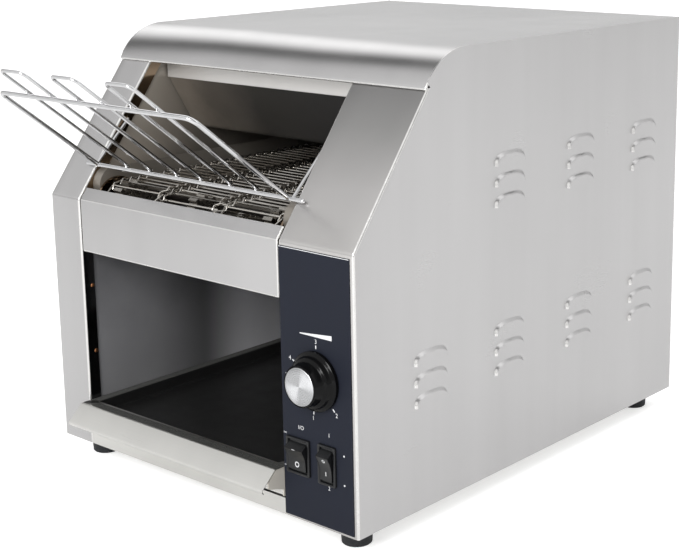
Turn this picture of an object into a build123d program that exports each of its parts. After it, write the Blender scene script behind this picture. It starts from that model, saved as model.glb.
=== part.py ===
from build123d import *
from math import acos, asin, atan2, cos, degrees, pi, radians, sin, sqrt, tan
import os

# Counter-top conveyor toaster with a wire feed rack, a wire link belt and a slide-out tray.
# Millimetres. X runs to the right seen from the front, Y to the rear, Z up from the counter.
# Lengths called "back" run from the casing's front, and "height" from its underside.

os.makedirs("parts", exist_ok=True)

# ---------------------------------------------------------------- driving dimensions
case_width = 368.0
case_depth = 460.0
case_height = 370.0
foot_height = 17.0
sheet = 1.2                  # stainless sheet
seat_gap = 0.3               # between a moving piece and what carries it
shaft_fit = 0.05             # radial clearance of a shaft in its bore

bend_height = 226.5          # where the upright front turns into the slope
slope_angle = 52.6           # of the slope, from the counter
hood_radius = 57.0
hood_proud = 3.1             # how far the hood's skin stands off the slope
hood_wrap = 7.7              # degrees that its curve runs on past the slope's direction
hood_hem = 8.0
cover_flange = 15.0          # turned down at the rear
strip_drop = 26.0            # from the casing's top to the end of the front strips, under the hood
wall_drop = 25.0             # and to the top of the inner walls
header_ahead = 28.0          # of the line where the hood's curve meets the flat top
header_drop = 46.3
baffle_behind = 6.0
baffle_drop = 80.0

left_strip = 40.0            # front strip left of the opening
control_column = 79.0        # front strip right of it, with the controls
return_depth = 22.0          # flange that turns in beside the opening
fascia_drop = 47.0           # from the bend to the fascia's lower edge
fascia_lip = 12.0
fascia_flange = 18.0
base_strip_height = 14.0
base_flange = 12.0

louvre_length = 43.0
louvre_height = 11.0
louvre_proud = 4.0
louvre_top_share = 0.75      # of its length that is left where it runs out into the sheet
louvre_pitch = 17.5
louvre_first_back = 66.0     # front end of the first group
louvre_rear_margin = 39.0    # behind the last group
louvre_lower_row = 91.0      # lowest louvre of the row of four groups
louvre_upper_row = 236.0     # lowest louvre of the row of three groups

belt_pitch = 9.525
belt_margin = 15.0           # from the opening's edge to the belt's outermost joint
belt_wire = 1.8
belt_teeth = 12
belt_straight_links = 24     # links between the two shafts, on each run
shaft_radius = 5.0
shaft_drop = 4.9             # of the shafts below the bend
disc_proud = 3.6             # of the discs beside the belt, over the pitch circle
disc_front_gap = 11.5        # from the casing's front to those discs
sprocket_width = 10.0

tray_reach = 24.3            # how far the tray's lip stands out
tray_low = 16.0
tray_top = 40.2
tray_length = 290.0

rack_wire = 4.0
rack_loop_wire = 3.0
rack_side_gap = 5.8          # from the opening's edge to the middle of the frame's leg
rack_bar_overhang = 16.5
rack_rise = 37.9             # degrees of its legs above level
rack_frame_length = 121.8
rack_frame_corner = 8.0
rack_loop_length = 155.0
rack_loop_corner = 7.0
rack_loop_spacing = 65.5
rack_loop_width = 30.4
rack_wire_gap = 0.1          # between two wires of the rack where they are welded
rack_bar_above_bend = 28.7   # height of the bar that rests on the slope
rack_pivot_run = 52.0        # from the bar up the slope to the pivot
rack_pivot_depth = 6.0       # below the slope's face

knob_radius = 24.0
knob_cap_radius = 17.5
knob_depth = 20.0
knob_inset = 38.5            # from the opening's edge to the knob
knob_height = 121.0
rocker_tilt = 12.0           # each way from the middle
overlay_thickness = 0.6

# ---------------------------------------------------------------- places worked out from them
half_width = case_width / 2
inner_half = half_width - sheet
opening_left = left_strip - half_width
opening_right = half_width - control_column
opening_middle = (opening_left + opening_right) / 2
left_wall = opening_left - sheet       # inner face of the left inner wall
right_wall = opening_right + sheet
wall_top = case_height - wall_drop
strip_top = case_height - strip_drop

slope_sin = sin(radians(slope_angle))
slope_cos = cos(radians(slope_angle))
hood_height = case_height - hood_radius
hood_sweep = slope_angle + hood_wrap
hood_slope_offset = hood_radius - hood_proud       # from the curve's centre to the slope
hood_flat_back = (hood_slope_offset + (hood_height - bend_height) * slope_cos) / slope_sin

rack_half_width = (opening_right - opening_left) / 2 - rack_side_gap
rack_bar_height = bend_height + rack_bar_above_bend
rack_proud = rack_wire / 2 + seat_gap
rack_bar_back = (rack_bar_height - bend_height) * slope_cos / slope_sin - rack_proud / slope_sin
rack_loop_lift = (rack_wire + rack_loop_wire) / 2 + rack_wire_gap     # loops lie on the frame
rack_reach = (rack_loop_length * cos(radians(rack_rise)) - rack_loop_lift * sin(radians(rack_rise))
              + rack_loop_wire / 2 - rack_bar_back)
gland_proud = 12.0
front_y = (rack_reach - case_depth - gland_proud) / 2     # centres the whole length on Y = 0

pitch_radius = belt_pitch / 2 / sin(pi / belt_teeth)
disc_radius = pitch_radius + disc_proud
belt_space = (opening_right - opening_left - 2 * belt_margin) / 3   # between neighbouring joints
shaft_back = disc_front_gap + disc_radius                           # of the front shaft
shaft_height = bend_height - shaft_drop
shaft_spacing = belt_straight_links * belt_pitch
rear_shaft_back = shaft_back + shaft_spacing
belt_top = shaft_height + pitch_radius


def side_point(back, height):
    """Point of a side view."""
    return (front_y + back, foot_height + height)


def front_plane(back):
    """Plane that faces the front, seen with X to the right and Z up."""
    return Plane.XZ.offset(-front_y - back)


def level(height):
    return Plane.XY.offset(foot_height + height)


def side_plane(x):
    """Plane across the width, seen with Y to the right and Z up."""
    return Plane.YZ.offset(x)


def front_line(inset, low, high):
    """Points of the front's outline, moved into the casing by inset."""
    bend = bend_height - inset * (1 - slope_sin) / slope_cos
    top_back = (high - bend_height) * slope_cos / slope_sin + inset / slope_sin
    return [side_point(inset, low), side_point(inset, bend), side_point(top_back, high)]


def front_band(outer, inner, low, high):
    """Side view of a strip that follows the front between two insets."""
    with BuildSketch() as band:
        with BuildLine():
            Polyline(*front_line(outer, low, high), *reversed(front_line(inner, low, high)), close=True)
        make_face()
    return band.sketch


def box_between(low, high):
    """Box from two corners given as x, back and height."""
    size = [b - a for a, b in zip(low, high)]
    middle = [(a + b) / 2 for a, b in zip(low, high)]
    with BuildPart() as block:
        with Locations((middle[0], front_y + middle[1], foot_height + middle[2])):
            Box(*size)
    return block.part


def save(part, name):
    part.label = name
    export_step(part, f"parts/{name}.step")


# ---------------------------------------------------------------- casing
def casing_outline():
    """Side view of the casing inside its cover."""
    radius = hood_radius - sheet
    sweep = slope_angle - degrees(acos(hood_slope_offset / radius))
    with BuildSketch() as outline:
        with BuildLine():
            curve = CenterArc(side_point(hood_flat_back, hood_height), radius, 90, sweep)
            Polyline(curve @ 1, side_point(0, bend_height), side_point(0, 0), side_point(case_depth, 0),
                     side_point(case_depth, case_height - sheet), curve @ 0)
        make_face()
    return outline.sketch


def louvre_plan(length, proud, root):
    """Plan of a louvre: a flat face that stands out in X between two slanting ends, on a short root."""
    with BuildSketch() as plan:
        with BuildLine():
            Polyline((-root, -length / 2), (0, -length / 2), (proud, proud - length / 2),
                     (proud, length / 2 - proud), (0, length / 2), (-root, length / 2), close=True)
        make_face()
    return plan.sketch


def louvre_shape(thin, root):
    """Louvre bulge over a sheet face at X = 0, open end at Z = 0, made smaller by thin."""
    with BuildPart() as bulge:
        with BuildSketch(Plane.XY.offset(-thin)):
            add(louvre_plan(louvre_length - 2 * thin, louvre_proud - thin, root))
        with BuildSketch(Plane.XY.offset(louvre_height - thin)):
            add(louvre_plan(louvre_top_share * louvre_length - 2 * thin, louvre_run_out, root))
        loft(ruled=True)
    return bulge.part


def louvre_places(side):
    """Where the louvres stand on one side sheet."""
    places = []
    group_pitch = (case_depth - louvre_first_back - louvre_length - louvre_rear_margin) / 3
    for row, first_group in ((louvre_lower_row, 0), (louvre_upper_row, 1)):
        for group in range(first_group, 4):
            back = louvre_first_back + group * group_pitch + louvre_length / 2
            for step in range(3):
                spot = (side * half_width, front_y + back, foot_height + row + step * louvre_pitch)
                places.append(Location(spot, (0, 0, 0 if side > 0 else 180)))
    return places


louvre_run_out = 0.3          # how far a louvre's upper end still stands out
louvre_wall = 0.8
louvre = louvre_shape(0, sheet / 2)
louvre_hollow = louvre_shape(louvre_wall, sheet * 1.5)
rack_wire_radius = rack_loop_wire / 2
rack_pivot_back = rack_bar_back + rack_pivot_run * slope_cos + (rack_proud + rack_pivot_depth) * slope_sin
rack_pivot_height = rack_bar_height + rack_pivot_run * slope_sin - (rack_proud + rack_pivot_depth) * slope_cos
rack_pivot_spot = side_point(rack_pivot_back, rack_pivot_height)


def side_shell(side, opening_x, holes=None):
    """Side sheet with its louvres, front strip and return flange, folded from one piece."""
    with BuildPart() as shell:
        with BuildSketch(side_plane(side * (half_width - sheet / 2))):
            add(casing_outline())
        extrude(amount=sheet / 2, both=True)
        with Locations(*louvre_places(side)):
            add(louvre)
        with Locations(*louvre_places(side)):
            add(louvre_hollow, mode=Mode.SUBTRACT)
        with BuildSketch(side_plane(opening_x)):
            add(front_band(0, sheet, 0, strip_top))
        extrude(amount=side * (half_width - side * opening_x))
        with BuildSketch(side_plane(opening_x)):
            add(front_band(0, return_depth, sheet, strip_top))
        extrude(amount=side * sheet)
        with BuildSketch(side_plane(opening_x - side)):
            with Locations(rack_pivot_spot):
                Circle(rack_wire_radius + shaft_fit)
        extrude(amount=side * (sheet + 2), mode=Mode.SUBTRACT)
        if holes:
            with BuildSketch(front_plane(-1)):
                add(holes)
            extrude(amount=-sheet - 2, mode=Mode.SUBTRACT)
    return shell


left_side_panel = side_shell(-1, opening_left)
save(left_side_panel.part, "left_side_panel")

knob_x = opening_right + knob_inset
bushing_radius = 5.0
switch_height = 54.3
power_switch_size = (25.5, 30.5)
power_switch_x = opening_right + 4.5 + power_switch_size[0] / 2
mode_switch_size = (19.0, 33.0)
mode_switch_x = power_switch_x + (power_switch_size[0] + mode_switch_size[0]) / 2 + 9.0
bezel_wall = 1.9


def control_cutouts(clearance):
    """Holes for the controls, seen from the front."""
    with BuildSketch() as holes:
        with Locations((knob_x, foot_height + knob_height)):
            Circle(bushing_radius + clearance)
        for x, size in ((power_switch_x, power_switch_size), (mode_switch_x, mode_switch_size)):
            with Locations((x, foot_height + switch_height)):
                Rectangle(size[0] - bezel_wall + 2 * clearance, size[1] - bezel_wall + 2 * clearance)
    return holes.sketch


right_side_panel = side_shell(1, opening_right, control_cutouts(0.1))
save(right_side_panel.part, "right_side_panel")

with BuildPart() as top_cover:
    with BuildSketch(side_plane(0)):
        with BuildLine():
            hood_centre = side_point(hood_flat_back, hood_height)
            hood_outside = CenterArc(hood_centre, hood_radius, 90, hood_sweep)
            hood_inside = CenterArc(hood_centre, hood_radius - sheet, 90, hood_sweep)
            Line(hood_outside @ 1, hood_inside @ 1)
            Polyline(hood_outside @ 0, side_point(case_depth, case_height),
                     side_point(case_depth, case_height - cover_flange),
                     side_point(case_depth - sheet, case_height - cover_flange),
                     side_point(case_depth - sheet, case_height - sheet), hood_inside @ 0)
        make_face()
    extrude(amount=half_width, both=True)
    # the side sheets' rear corners stand inside the turned-down flange
    for edge in (-1, 1):
        add(box_between((min(edge * half_width, edge * inner_half), case_depth - sheet, 0),
                        (max(edge * half_width, edge * inner_half), case_depth, case_height - sheet)),
            mode=Mode.SUBTRACT)
    with BuildSketch(side_plane(0)):
        hem_angle = degrees(hood_hem / hood_radius)
        with BuildLine():
            hem_start = 90 + hood_sweep - hem_angle
            hem_outside = CenterArc(hood_centre, hood_radius - sheet, hem_start, hem_angle)
            hem_inside = CenterArc(hood_centre, hood_radius - 2 * sheet, hem_start, hem_angle)
            Line(hem_outside @ 0, hem_inside @ 0)
            Line(hem_outside @ 1, hem_inside @ 1)
        make_face()
    extrude(amount=inner_half - 0.1, both=True)
save(top_cover.part, "top_cover")

gland_spot = (half_width - 34.0, foot_height + 38.0)
gland_radius = 7.0
gland_bore = 4.5
fan_size = 60.0
fan_depth = 15.0
fan_spot = (half_width - 44.0, foot_height + 110.0)
fan_bore = 27.5
vent_width = 3.4
fan_vent_length = 38.0
chamber_vent_length = 120.0
chamber_vent_spot = (opening_middle - 30.0, foot_height + case_height - 70.0)

with BuildPart() as rear_panel:
    with BuildSketch(front_plane(case_depth)):
        with Locations((0, foot_height + (case_height - cover_flange) / 2)):
            Rectangle(2 * inner_half, case_height - cover_flange)
        with Locations(gland_spot):
            Circle(gland_radius, mode=Mode.SUBTRACT)
        with Locations(fan_spot):
            with GridLocations(0, 2 * vent_width + 0.2, 1, 7):
                Rectangle(fan_vent_length, vent_width, mode=Mode.SUBTRACT)
        with Locations(chamber_vent_spot):
            with GridLocations(0, 3 * vent_width - 0.2, 1, 4):
                Rectangle(chamber_vent_length, vent_width, mode=Mode.SUBTRACT)
    extrude(amount=sheet)
save(rear_panel.part, "rear_panel")

base_lip = 9.0
with BuildPart() as base_pan:
    add(box_between((-inner_half, sheet, 0), (inner_half, case_depth - sheet, sheet)))
    for side in (-1, 1):
        low_x, high_x = sorted((side * inner_half, side * (inner_half - sheet)))
        add(box_between((low_x, sheet, 0), (high_x, case_depth - sheet, base_flange)))
    add(box_between((-inner_half, case_depth - 2 * sheet, 0), (inner_half, case_depth - sheet, base_flange)))
    strip_left = opening_left + seat_gap
    strip_right = opening_right - seat_gap
    add(box_between((strip_left, 0, 0), (strip_right, sheet, base_strip_height)))
    add(box_between((strip_left, 0, 0), (strip_right, 3 * sheet, sheet)))
    add(box_between((strip_left, 0, base_strip_height - sheet), (strip_right, base_lip, base_strip_height)))
save(base_pan.part, "base_pan")

fascia_low = bend_height - fascia_drop
fascia_joint = 0.6            # open joint beside the two front strips
fascia_ear_drop = 18.0        # from the bend to the top of the two ears that hold it
with BuildPart() as front_fascia:
    lip_high = bend_height + fascia_lip * slope_sin
    fascia_left = opening_left + fascia_joint
    fascia_right = opening_right - fascia_joint
    with BuildSketch(side_plane(fascia_left)):
        add(front_band(0, sheet, fascia_low, lip_high))
    extrude(amount=fascia_right - fascia_left)
    add(box_between((fascia_left, 0, fascia_low), (fascia_right, fascia_flange, fascia_low + sheet)))
    for low_x, high_x in ((opening_left, opening_left + sheet), (opening_right - sheet, opening_right)):
        add(box_between((low_x, sheet, fascia_low), (high_x, fascia_flange, bend_height - fascia_ear_drop)))
save(front_fascia.part, "front_fascia")

header_back = hood_flat_back - header_ahead
header_low = case_height - header_drop
header_high = hood_height + sqrt((hood_radius - sheet) ** 2 - (hood_flat_back - header_back) ** 2)
with BuildPart() as header_strip:
    add(box_between((opening_left, header_back, header_low),
                    (opening_right, header_back + sheet, header_high)))
save(header_strip.part, "header_strip")

baffle_back = hood_flat_back + baffle_behind
baffle_low = case_height - baffle_drop
baffle_lap = 16.0             # of the flange that lies behind the header
baffle_foot = 14.0            # of the level edge behind the slanting part
with BuildPart() as upper_baffle:
    with BuildSketch(side_plane(opening_left)):
        with BuildLine():
            start = header_back + sheet
            slant_end = baffle_back - 5.0
            Polyline(side_point(start, header_low + baffle_lap), side_point(start, header_low),
                     side_point(slant_end, baffle_low), side_point(baffle_back + baffle_foot, baffle_low),
                     side_point(baffle_back + baffle_foot, baffle_low + sheet),
                     side_point(slant_end + sheet, baffle_low + sheet),
                     side_point(start + sheet, header_low + 1),
                     side_point(start + sheet, header_low + baffle_lap), close=True)
        make_face()
    extrude(amount=opening_right - opening_left)
save(upper_baffle.part, "upper_baffle")

# ---------------------------------------------------------------- chamber
heater_radius = 5.0
heater_spacing = 42.0
upper_heater_height = case_height - 62.0
upper_heater_back = baffle_back + 36.0             # of the front one
lower_heater_back = shaft_back + 58.5
lower_heater_height = shaft_height - 3.5
heater_count = 3
wall_rear = case_depth - 35.0
bush_radius = shaft_radius + 2.2
chamber_floor_height = shaft_height - pitch_radius - 15.2
holder_depth = 9.0
heater_steps = [i * heater_spacing for i in range(heater_count)]
upper_heater_spots = [(upper_heater_back + step, upper_heater_height) for step in heater_steps]
lower_heater_spots = [(lower_heater_back + step, lower_heater_height) for step in heater_steps]
shaft_spots = [(shaft_back, shaft_height), (rear_shaft_back, shaft_height)]


def inner_wall(x):
    """Wall between the toasting chamber and one side, with its low x face at x."""
    with BuildPart() as wall:
        with BuildSketch(side_plane(x)):
            front = front_line(sheet + 1, sheet, wall_top)
            with BuildLine():
                Polyline(*front, side_point(wall_rear, wall_top), side_point(wall_rear, sheet), close=True)
            make_face()
            with Locations(*[side_point(*spot) for spot in shaft_spots]):
                Circle(bush_radius, mode=Mode.SUBTRACT)
            with Locations(*[side_point(*spot) for spot in upper_heater_spots + lower_heater_spots]):
                Circle(heater_radius + shaft_fit, mode=Mode.SUBTRACT)
            with Locations(rack_pivot_spot):
                Circle(rack_wire_radius + 1, mode=Mode.SUBTRACT)
        extrude(amount=sheet)
    return wall


left_inner_wall = inner_wall(left_wall - sheet)
save(left_inner_wall.part, "left_inner_wall")
right_inner_wall = inner_wall(right_wall)
save(right_inner_wall.part, "right_inner_wall")

chute_back = case_depth - 68.0
chute_top = case_height - 85.0
chute_radius = 110.0
chute_slope = 28.0
chute_end_back = tray_length - 6.6       # where it ends, over the rear of the toast pan
chute_end_height = tray_top + 4.0
with BuildPart() as return_chute:
    with BuildSketch(side_plane(left_wall)):
        with BuildLine():
            chute_sweep = 90 - chute_slope
            chute_fall = tan(radians(chute_slope))
            arc_back = chute_radius * (1 - cos(radians(chute_sweep)))
            arc_drop = chute_radius * sin(radians(chute_sweep))
            slope_back = chute_back - chute_end_back - arc_back     # its straight part, seen from above
            chute_centre = side_point(chute_back - chute_radius,
                                      chute_end_height + slope_back * chute_fall + arc_drop)
            outside = CenterArc(chute_centre, chute_radius, 0, -chute_sweep)
            inside = CenterArc(chute_centre, chute_radius - sheet, 0, -chute_sweep)
            step = Vector(-slope_back, -slope_back * chute_fall)
            Polyline(outside @ 0, side_point(chute_back, chute_top),
                     side_point(chute_back - sheet, chute_top), inside @ 0)
            Polyline(outside @ 1, outside @ 1 + step, inside @ 1 + step, inside @ 1)
        make_face()
    extrude(amount=right_wall - left_wall)
save(return_chute.part, "return_chute")

floor_rear = rear_shaft_back + pitch_radius + 5.6
floor_flange = 10.0
with BuildPart() as chamber_floor:
    add(box_between((left_wall, return_depth, chamber_floor_height),
                    (right_wall, floor_rear, chamber_floor_height + sheet)))
    add(box_between((left_wall, floor_rear - sheet, chamber_floor_height - floor_flange),
                    (right_wall, floor_rear, chamber_floor_height)))
save(chamber_floor.part, "chamber_floor")

reflector_high = upper_heater_height + 16.0
reflector_low = upper_heater_height - 6.0
reflector_past = 20.0         # past the outer heaters
reflector_slant = 10.0
with BuildPart() as upper_reflector:
    with BuildSketch(side_plane(left_wall)):
        front_edge = upper_heater_back - reflector_past
        rear_edge = upper_heater_back + (heater_count - 1) * heater_spacing + reflector_past
        front_bend = front_edge + reflector_slant
        rear_bend = rear_edge - reflector_slant
        with BuildLine():
            Polyline(side_point(front_edge, reflector_low), side_point(front_bend, reflector_high),
                     side_point(rear_bend, reflector_high), side_point(rear_edge, reflector_low),
                     side_point(rear_edge + sheet, reflector_low),
                     side_point(rear_bend + sheet, reflector_high + sheet),
                     side_point(front_bend - sheet, reflector_high + sheet),
                     side_point(front_edge - sheet, reflector_low), close=True)
        make_face()
    extrude(amount=right_wall - left_wall)
save(upper_reflector.part, "upper_reflector")

holder_bottom = 3.0           # wall left at the blind end of a holder's bores
holder_half_height = 11.0
holder_past = 14.0            # past the outer tubes
heater_end = sheet + holder_depth - holder_bottom


def heater_tubes(spots):
    """Straight tubes across the chamber, through both inner walls."""
    with BuildPart() as tubes:
        with BuildSketch(side_plane(left_wall - heater_end)):
            with Locations(*[side_point(*spot) for spot in spots]):
                Circle(heater_radius)
        extrude(amount=right_wall - left_wall + 2 * heater_end)
    return tubes


upper_heaters = heater_tubes(upper_heater_spots)
save(upper_heaters.part, "upper_heaters")
lower_heaters = heater_tubes(lower_heater_spots)
save(lower_heaters.part, "lower_heaters")


def heater_holders(spots):
    """Ceramic bars outside the inner walls, bored for the ends of the tubes."""
    low = spots[0][0] - holder_past
    high = spots[-1][0] + holder_past
    height = spots[0][1]
    with BuildPart() as holders:
        for x, direction in ((left_wall - sheet, -1), (right_wall + sheet, 1)):
            low_x, high_x = sorted((x, x + direction * holder_depth))
            add(box_between((low_x, low, height - holder_half_height),
                            (high_x, high, height + holder_half_height)))
            with BuildSketch(side_plane(x)):
                with Locations(*[side_point(*spot) for spot in spots]):
                    Circle(heater_radius + shaft_fit)
            extrude(amount=direction * (holder_depth - holder_bottom), mode=Mode.SUBTRACT)
    return holders


upper_heater_holders = heater_holders(upper_heater_spots)
save(upper_heater_holders.part, "upper_heater_holders")
lower_heater_holders = heater_holders(lower_heater_spots)
save(lower_heater_holders.part, "lower_heater_holders")

# ---------------------------------------------------------------- conveyor
loop_mouth = 2.6              # half width of a loop where it leaves its bar
loop_end = 6.2                # half width where it hooks the next bar
loop_over = 1.1 * belt_wire
loop_past = 2.1 * belt_wire
belt_stagger = belt_pitch / 2
belt_half = 1.5 * belt_space


def half_loop(joint_x, side, bar):
    """Three points from the end of a bar, over the neighbour's bar and down behind it."""
    over_width = loop_mouth + (loop_end - loop_mouth) * belt_pitch / (belt_pitch + loop_past)
    return [(joint_x + side * loop_mouth, bar, 0), (joint_x + side * over_width, bar - belt_pitch, loop_over),
            (joint_x + side * loop_end, bar - belt_pitch - loop_past, -loop_over)]


def strand_points():
    """One wire of the belt, from edge to edge: a bar in each space and a hooked loop at each joint."""
    points = []
    for space, bar in enumerate((0, -belt_stagger, 0)):
        left_x = -belt_half + space * belt_space
        points += reversed(half_loop(left_x, 1, bar))
        points += half_loop(left_x + belt_space, -1, bar)
    return points


def belt_round():
    """Centre of each strand in a side view, once round both shafts in the direction of travel."""
    step = 360 / belt_teeth
    half_turn = belt_teeth // 2
    centres = [(shaft_back + i * belt_pitch, belt_top) for i in range(belt_straight_links + 1)]
    for i in range(1, half_turn):
        angle = radians(i * step)
        centres.append((rear_shaft_back + pitch_radius * sin(angle),
                        shaft_height + pitch_radius * cos(angle)))
    centres += [(rear_shaft_back - i * belt_pitch, shaft_height - pitch_radius)
                for i in range(belt_straight_links + 1)]
    for i in range(1, half_turn):
        angle = radians(i * step)
        centres.append((shaft_back - pitch_radius * sin(angle), shaft_height - pitch_radius * cos(angle)))
    return centres


with BuildPart() as strand:
    with BuildLine() as strand_path:
        Polyline(*strand_points())
    with BuildSketch(Plane(origin=strand_path.line @ 0, z_dir=strand_path.line % 0, x_dir=(1, 0, 0))):
        Rectangle(belt_wire, belt_wire)
    sweep(transition=Transition.RIGHT)

strand_places = []
belt_centres = belt_round()
for here, before in zip(belt_centres, belt_centres[-1:] + belt_centres[:-1]):
    travel = Vector(0, here[0] - before[0], here[1] - before[1])
    spot = (opening_middle, *side_point(*here))
    outward = Vector(1, 0, 0).cross(travel)
    strand_places.append(Plane(origin=spot, x_dir=(1, 0, 0), z_dir=outward).location)
conveyor_belt = Compound([strand.part.solid().moved(place) for place in strand_places])
save(conveyor_belt, "conveyor_belt")

sprocket_inset = 16.0
sprocket_spots = (sprocket_inset - belt_half, 0, belt_half - sprocket_inset)
tooth_step = 360 / belt_teeth
tooth_height = 3.2
belt_clearance = 0.25


def toothed_disc(seat, turn):
    """Outline of a wheel with flat valleys for the bars at radius seat, and blunt teeth between."""
    points = []
    for tooth in range(belt_teeth):
        valley = 90 + turn + tooth * tooth_step
        crown = seat + tooth_height
        for angle, radius in ((-8, seat), (8, seat), (10.5, crown), (19.5, crown)):
            points.append((radius * cos(radians(valley + angle)), radius * sin(radians(valley + angle))))
    with BuildSketch() as disc:
        with BuildLine():
            Polyline(*points, close=True)
        make_face()
        Circle(shaft_radius + shaft_fit, mode=Mode.SUBTRACT)
    return disc.sketch


def sprocket_row(back):
    """Three toothed wheels that carry the belt's bars in their valleys."""
    seat_drop = belt_wire / 2 + belt_clearance
    with BuildPart() as wheels:
        for offset in sprocket_spots:
            # the middle space's bars lie half a link back, so nearer to the shaft
            middle = offset == 0
            turn = tooth_step / 2 if middle else 0
            seat = pitch_radius * (cos(pi / belt_teeth) if middle else 1) - seat_drop
            with BuildSketch(side_plane(opening_middle + offset - sprocket_width / 2)):
                with Locations(side_point(back, shaft_height)):
                    add(toothed_disc(seat, turn))
            extrude(amount=sprocket_width)
    return wheels


front_sprockets = sprocket_row(shaft_back)
save(front_sprockets.part, "front_sprockets")
drive_sprockets = sprocket_row(rear_shaft_back)
save(drive_sprockets.part, "drive_sprockets")

shaft_overhang = 6.0
coupling_left = right_wall + sheet + 5
coupling_length = 16.0
with BuildPart() as front_shaft:
    with BuildSketch(side_plane(left_wall - sheet - shaft_overhang)):
        with Locations(side_point(shaft_back, shaft_height)):
            Circle(shaft_radius)
    extrude(amount=right_wall - left_wall + 2 * (sheet + shaft_overhang))
save(front_shaft.part, "front_shaft")

with BuildPart() as drive_shaft:
    drive_shaft_left = left_wall - sheet - shaft_overhang
    with BuildSketch(side_plane(drive_shaft_left)):
        with Locations(side_point(rear_shaft_back, shaft_height)):
            Circle(shaft_radius)
    extrude(amount=coupling_left + coupling_length / 2 - drive_shaft_left)
save(drive_shaft.part, "drive_shaft")

bush_length = 7.0
bush_inside = 2.0             # of a bush's length inside the chamber
with BuildPart() as shaft_bushes:
    for x in (left_wall - bush_length + bush_inside, right_wall - bush_inside):
        with BuildSketch(side_plane(x)):
            with Locations(*[side_point(*spot) for spot in shaft_spots]):
                Circle(bush_radius)
                Circle(shaft_radius + shaft_fit, mode=Mode.SUBTRACT)
        extrude(amount=bush_length)
save(shaft_bushes.part, "shaft_bushes")

guide_width = 9.8             # of the guides' front return, from the opening's edge
disc_width = 2.0
disc_inset = sheet + seat_gap + guide_width + seat_gap     # from the chamber's wall to a disc
with BuildPart() as belt_edge_discs:
    for x in (left_wall + disc_inset, right_wall - disc_inset - disc_width):
        with BuildSketch(side_plane(x)):
            with Locations(side_point(shaft_back, shaft_height)):
                Circle(disc_radius)
                Circle(shaft_radius + shaft_fit, mode=Mode.SUBTRACT)
        extrude(amount=disc_width)
save(belt_edge_discs.part, "belt_edge_discs")

rail_top = belt_top - loop_over - belt_wire
rail_height = 7.0
rail_thickness = 2.0
rail_end_gap = 26.0           # from a shaft to the rails' ends
crossbar_gap = 34.0           # from a shaft to the middle of a crossbar
crossbar_width = 8.0
crossbar_thickness = 1.5
rail_low = rail_top - rail_height
guide_radius = 15.0           # of the guides' rounded front end
guide_front = 16.0
guide_back = guide_front + guide_radius
guide_high = rail_low + 22.8


def belt_guide(edge, direction):
    """Upright guide beside the belt, from the opening's edge inwards, with its rounded front return."""
    web_x = edge + direction * (seat_gap + guide_width)
    centre = side_point(guide_back, guide_high - guide_radius)
    foot_angle = degrees(asin((guide_high - guide_radius - rail_low) / guide_radius))
    with BuildPart() as guide:
        with BuildSketch(side_plane(web_x)):
            with BuildLine():
                front = CenterArc(centre, guide_radius, 90, 90 + foot_angle)
                Polyline(front @ 1, side_point(rear_shaft_back, rail_low),
                         side_point(rear_shaft_back, guide_high), front @ 0)
            make_face()
        extrude(amount=-direction * sheet)
        with BuildSketch(side_plane(web_x)):
            with BuildLine():
                outside = CenterArc(centre, guide_radius, 90, 90 + foot_angle)
                inside = CenterArc(centre, guide_radius - sheet, 90, 90 + foot_angle)
                Line(outside @ 0, inside @ 0)
                Line(outside @ 1, inside @ 1)
            make_face()
        extrude(amount=-direction * guide_width)
    return guide.part


belt_support = [box_between((x - rail_thickness / 2, shaft_back + rail_end_gap, rail_low),
                            (x + rail_thickness / 2, rear_shaft_back - rail_end_gap, rail_top))
                for x in (opening_middle - belt_space, opening_middle, opening_middle + belt_space)]
belt_support += [box_between((left_wall, back - crossbar_width / 2, rail_low - crossbar_thickness),
                             (right_wall, back + crossbar_width / 2, rail_low))
                 for back in (shaft_back + crossbar_gap, rear_shaft_back - crossbar_gap)]
belt_support += [belt_guide(opening_left, 1), belt_guide(opening_right, -1)]
save(Compound([piece.solid() for piece in belt_support]), "belt_support")

# ---------------------------------------------------------------- drive
bracket_x = coupling_left + coupling_length + 2
bracket_half = 28.0
bracket_half_height = 24.0
bracket_foot = 12.0
bracket_sheet = 1.5
stub_radius = 4.0
gearbox_depth = 22.0
with BuildPart() as motor_bracket:
    web_hole = 14.0
    wall_face = right_wall + sheet
    bracket_low = shaft_height - bracket_half_height
    bracket_high = shaft_height + bracket_half_height
    for direction in (-1, 1):
        low_y, high_y = sorted((rear_shaft_back + direction * bracket_half,
                                rear_shaft_back + direction * (bracket_half - bracket_sheet)))
        add(box_between((wall_face, low_y, bracket_low), (bracket_x, high_y, bracket_high)))
        foot_low, foot_high = sorted((rear_shaft_back + direction * bracket_half,
                                      rear_shaft_back + direction * (bracket_half + bracket_foot)))
        add(box_between((wall_face, foot_low, bracket_low),
                        (wall_face + bracket_sheet, foot_high, bracket_high)))
    add(box_between((bracket_x - bracket_sheet, rear_shaft_back - bracket_half, bracket_low),
                    (bracket_x, rear_shaft_back + bracket_half, bracket_high)))
    with BuildSketch(side_plane(bracket_x - 2 * bracket_sheet)):
        with Locations(side_point(rear_shaft_back, shaft_height)):
            Circle(web_hole)
    extrude(amount=3 * bracket_sheet, mode=Mode.SUBTRACT)
save(motor_bracket.part, "motor_bracket")

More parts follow.
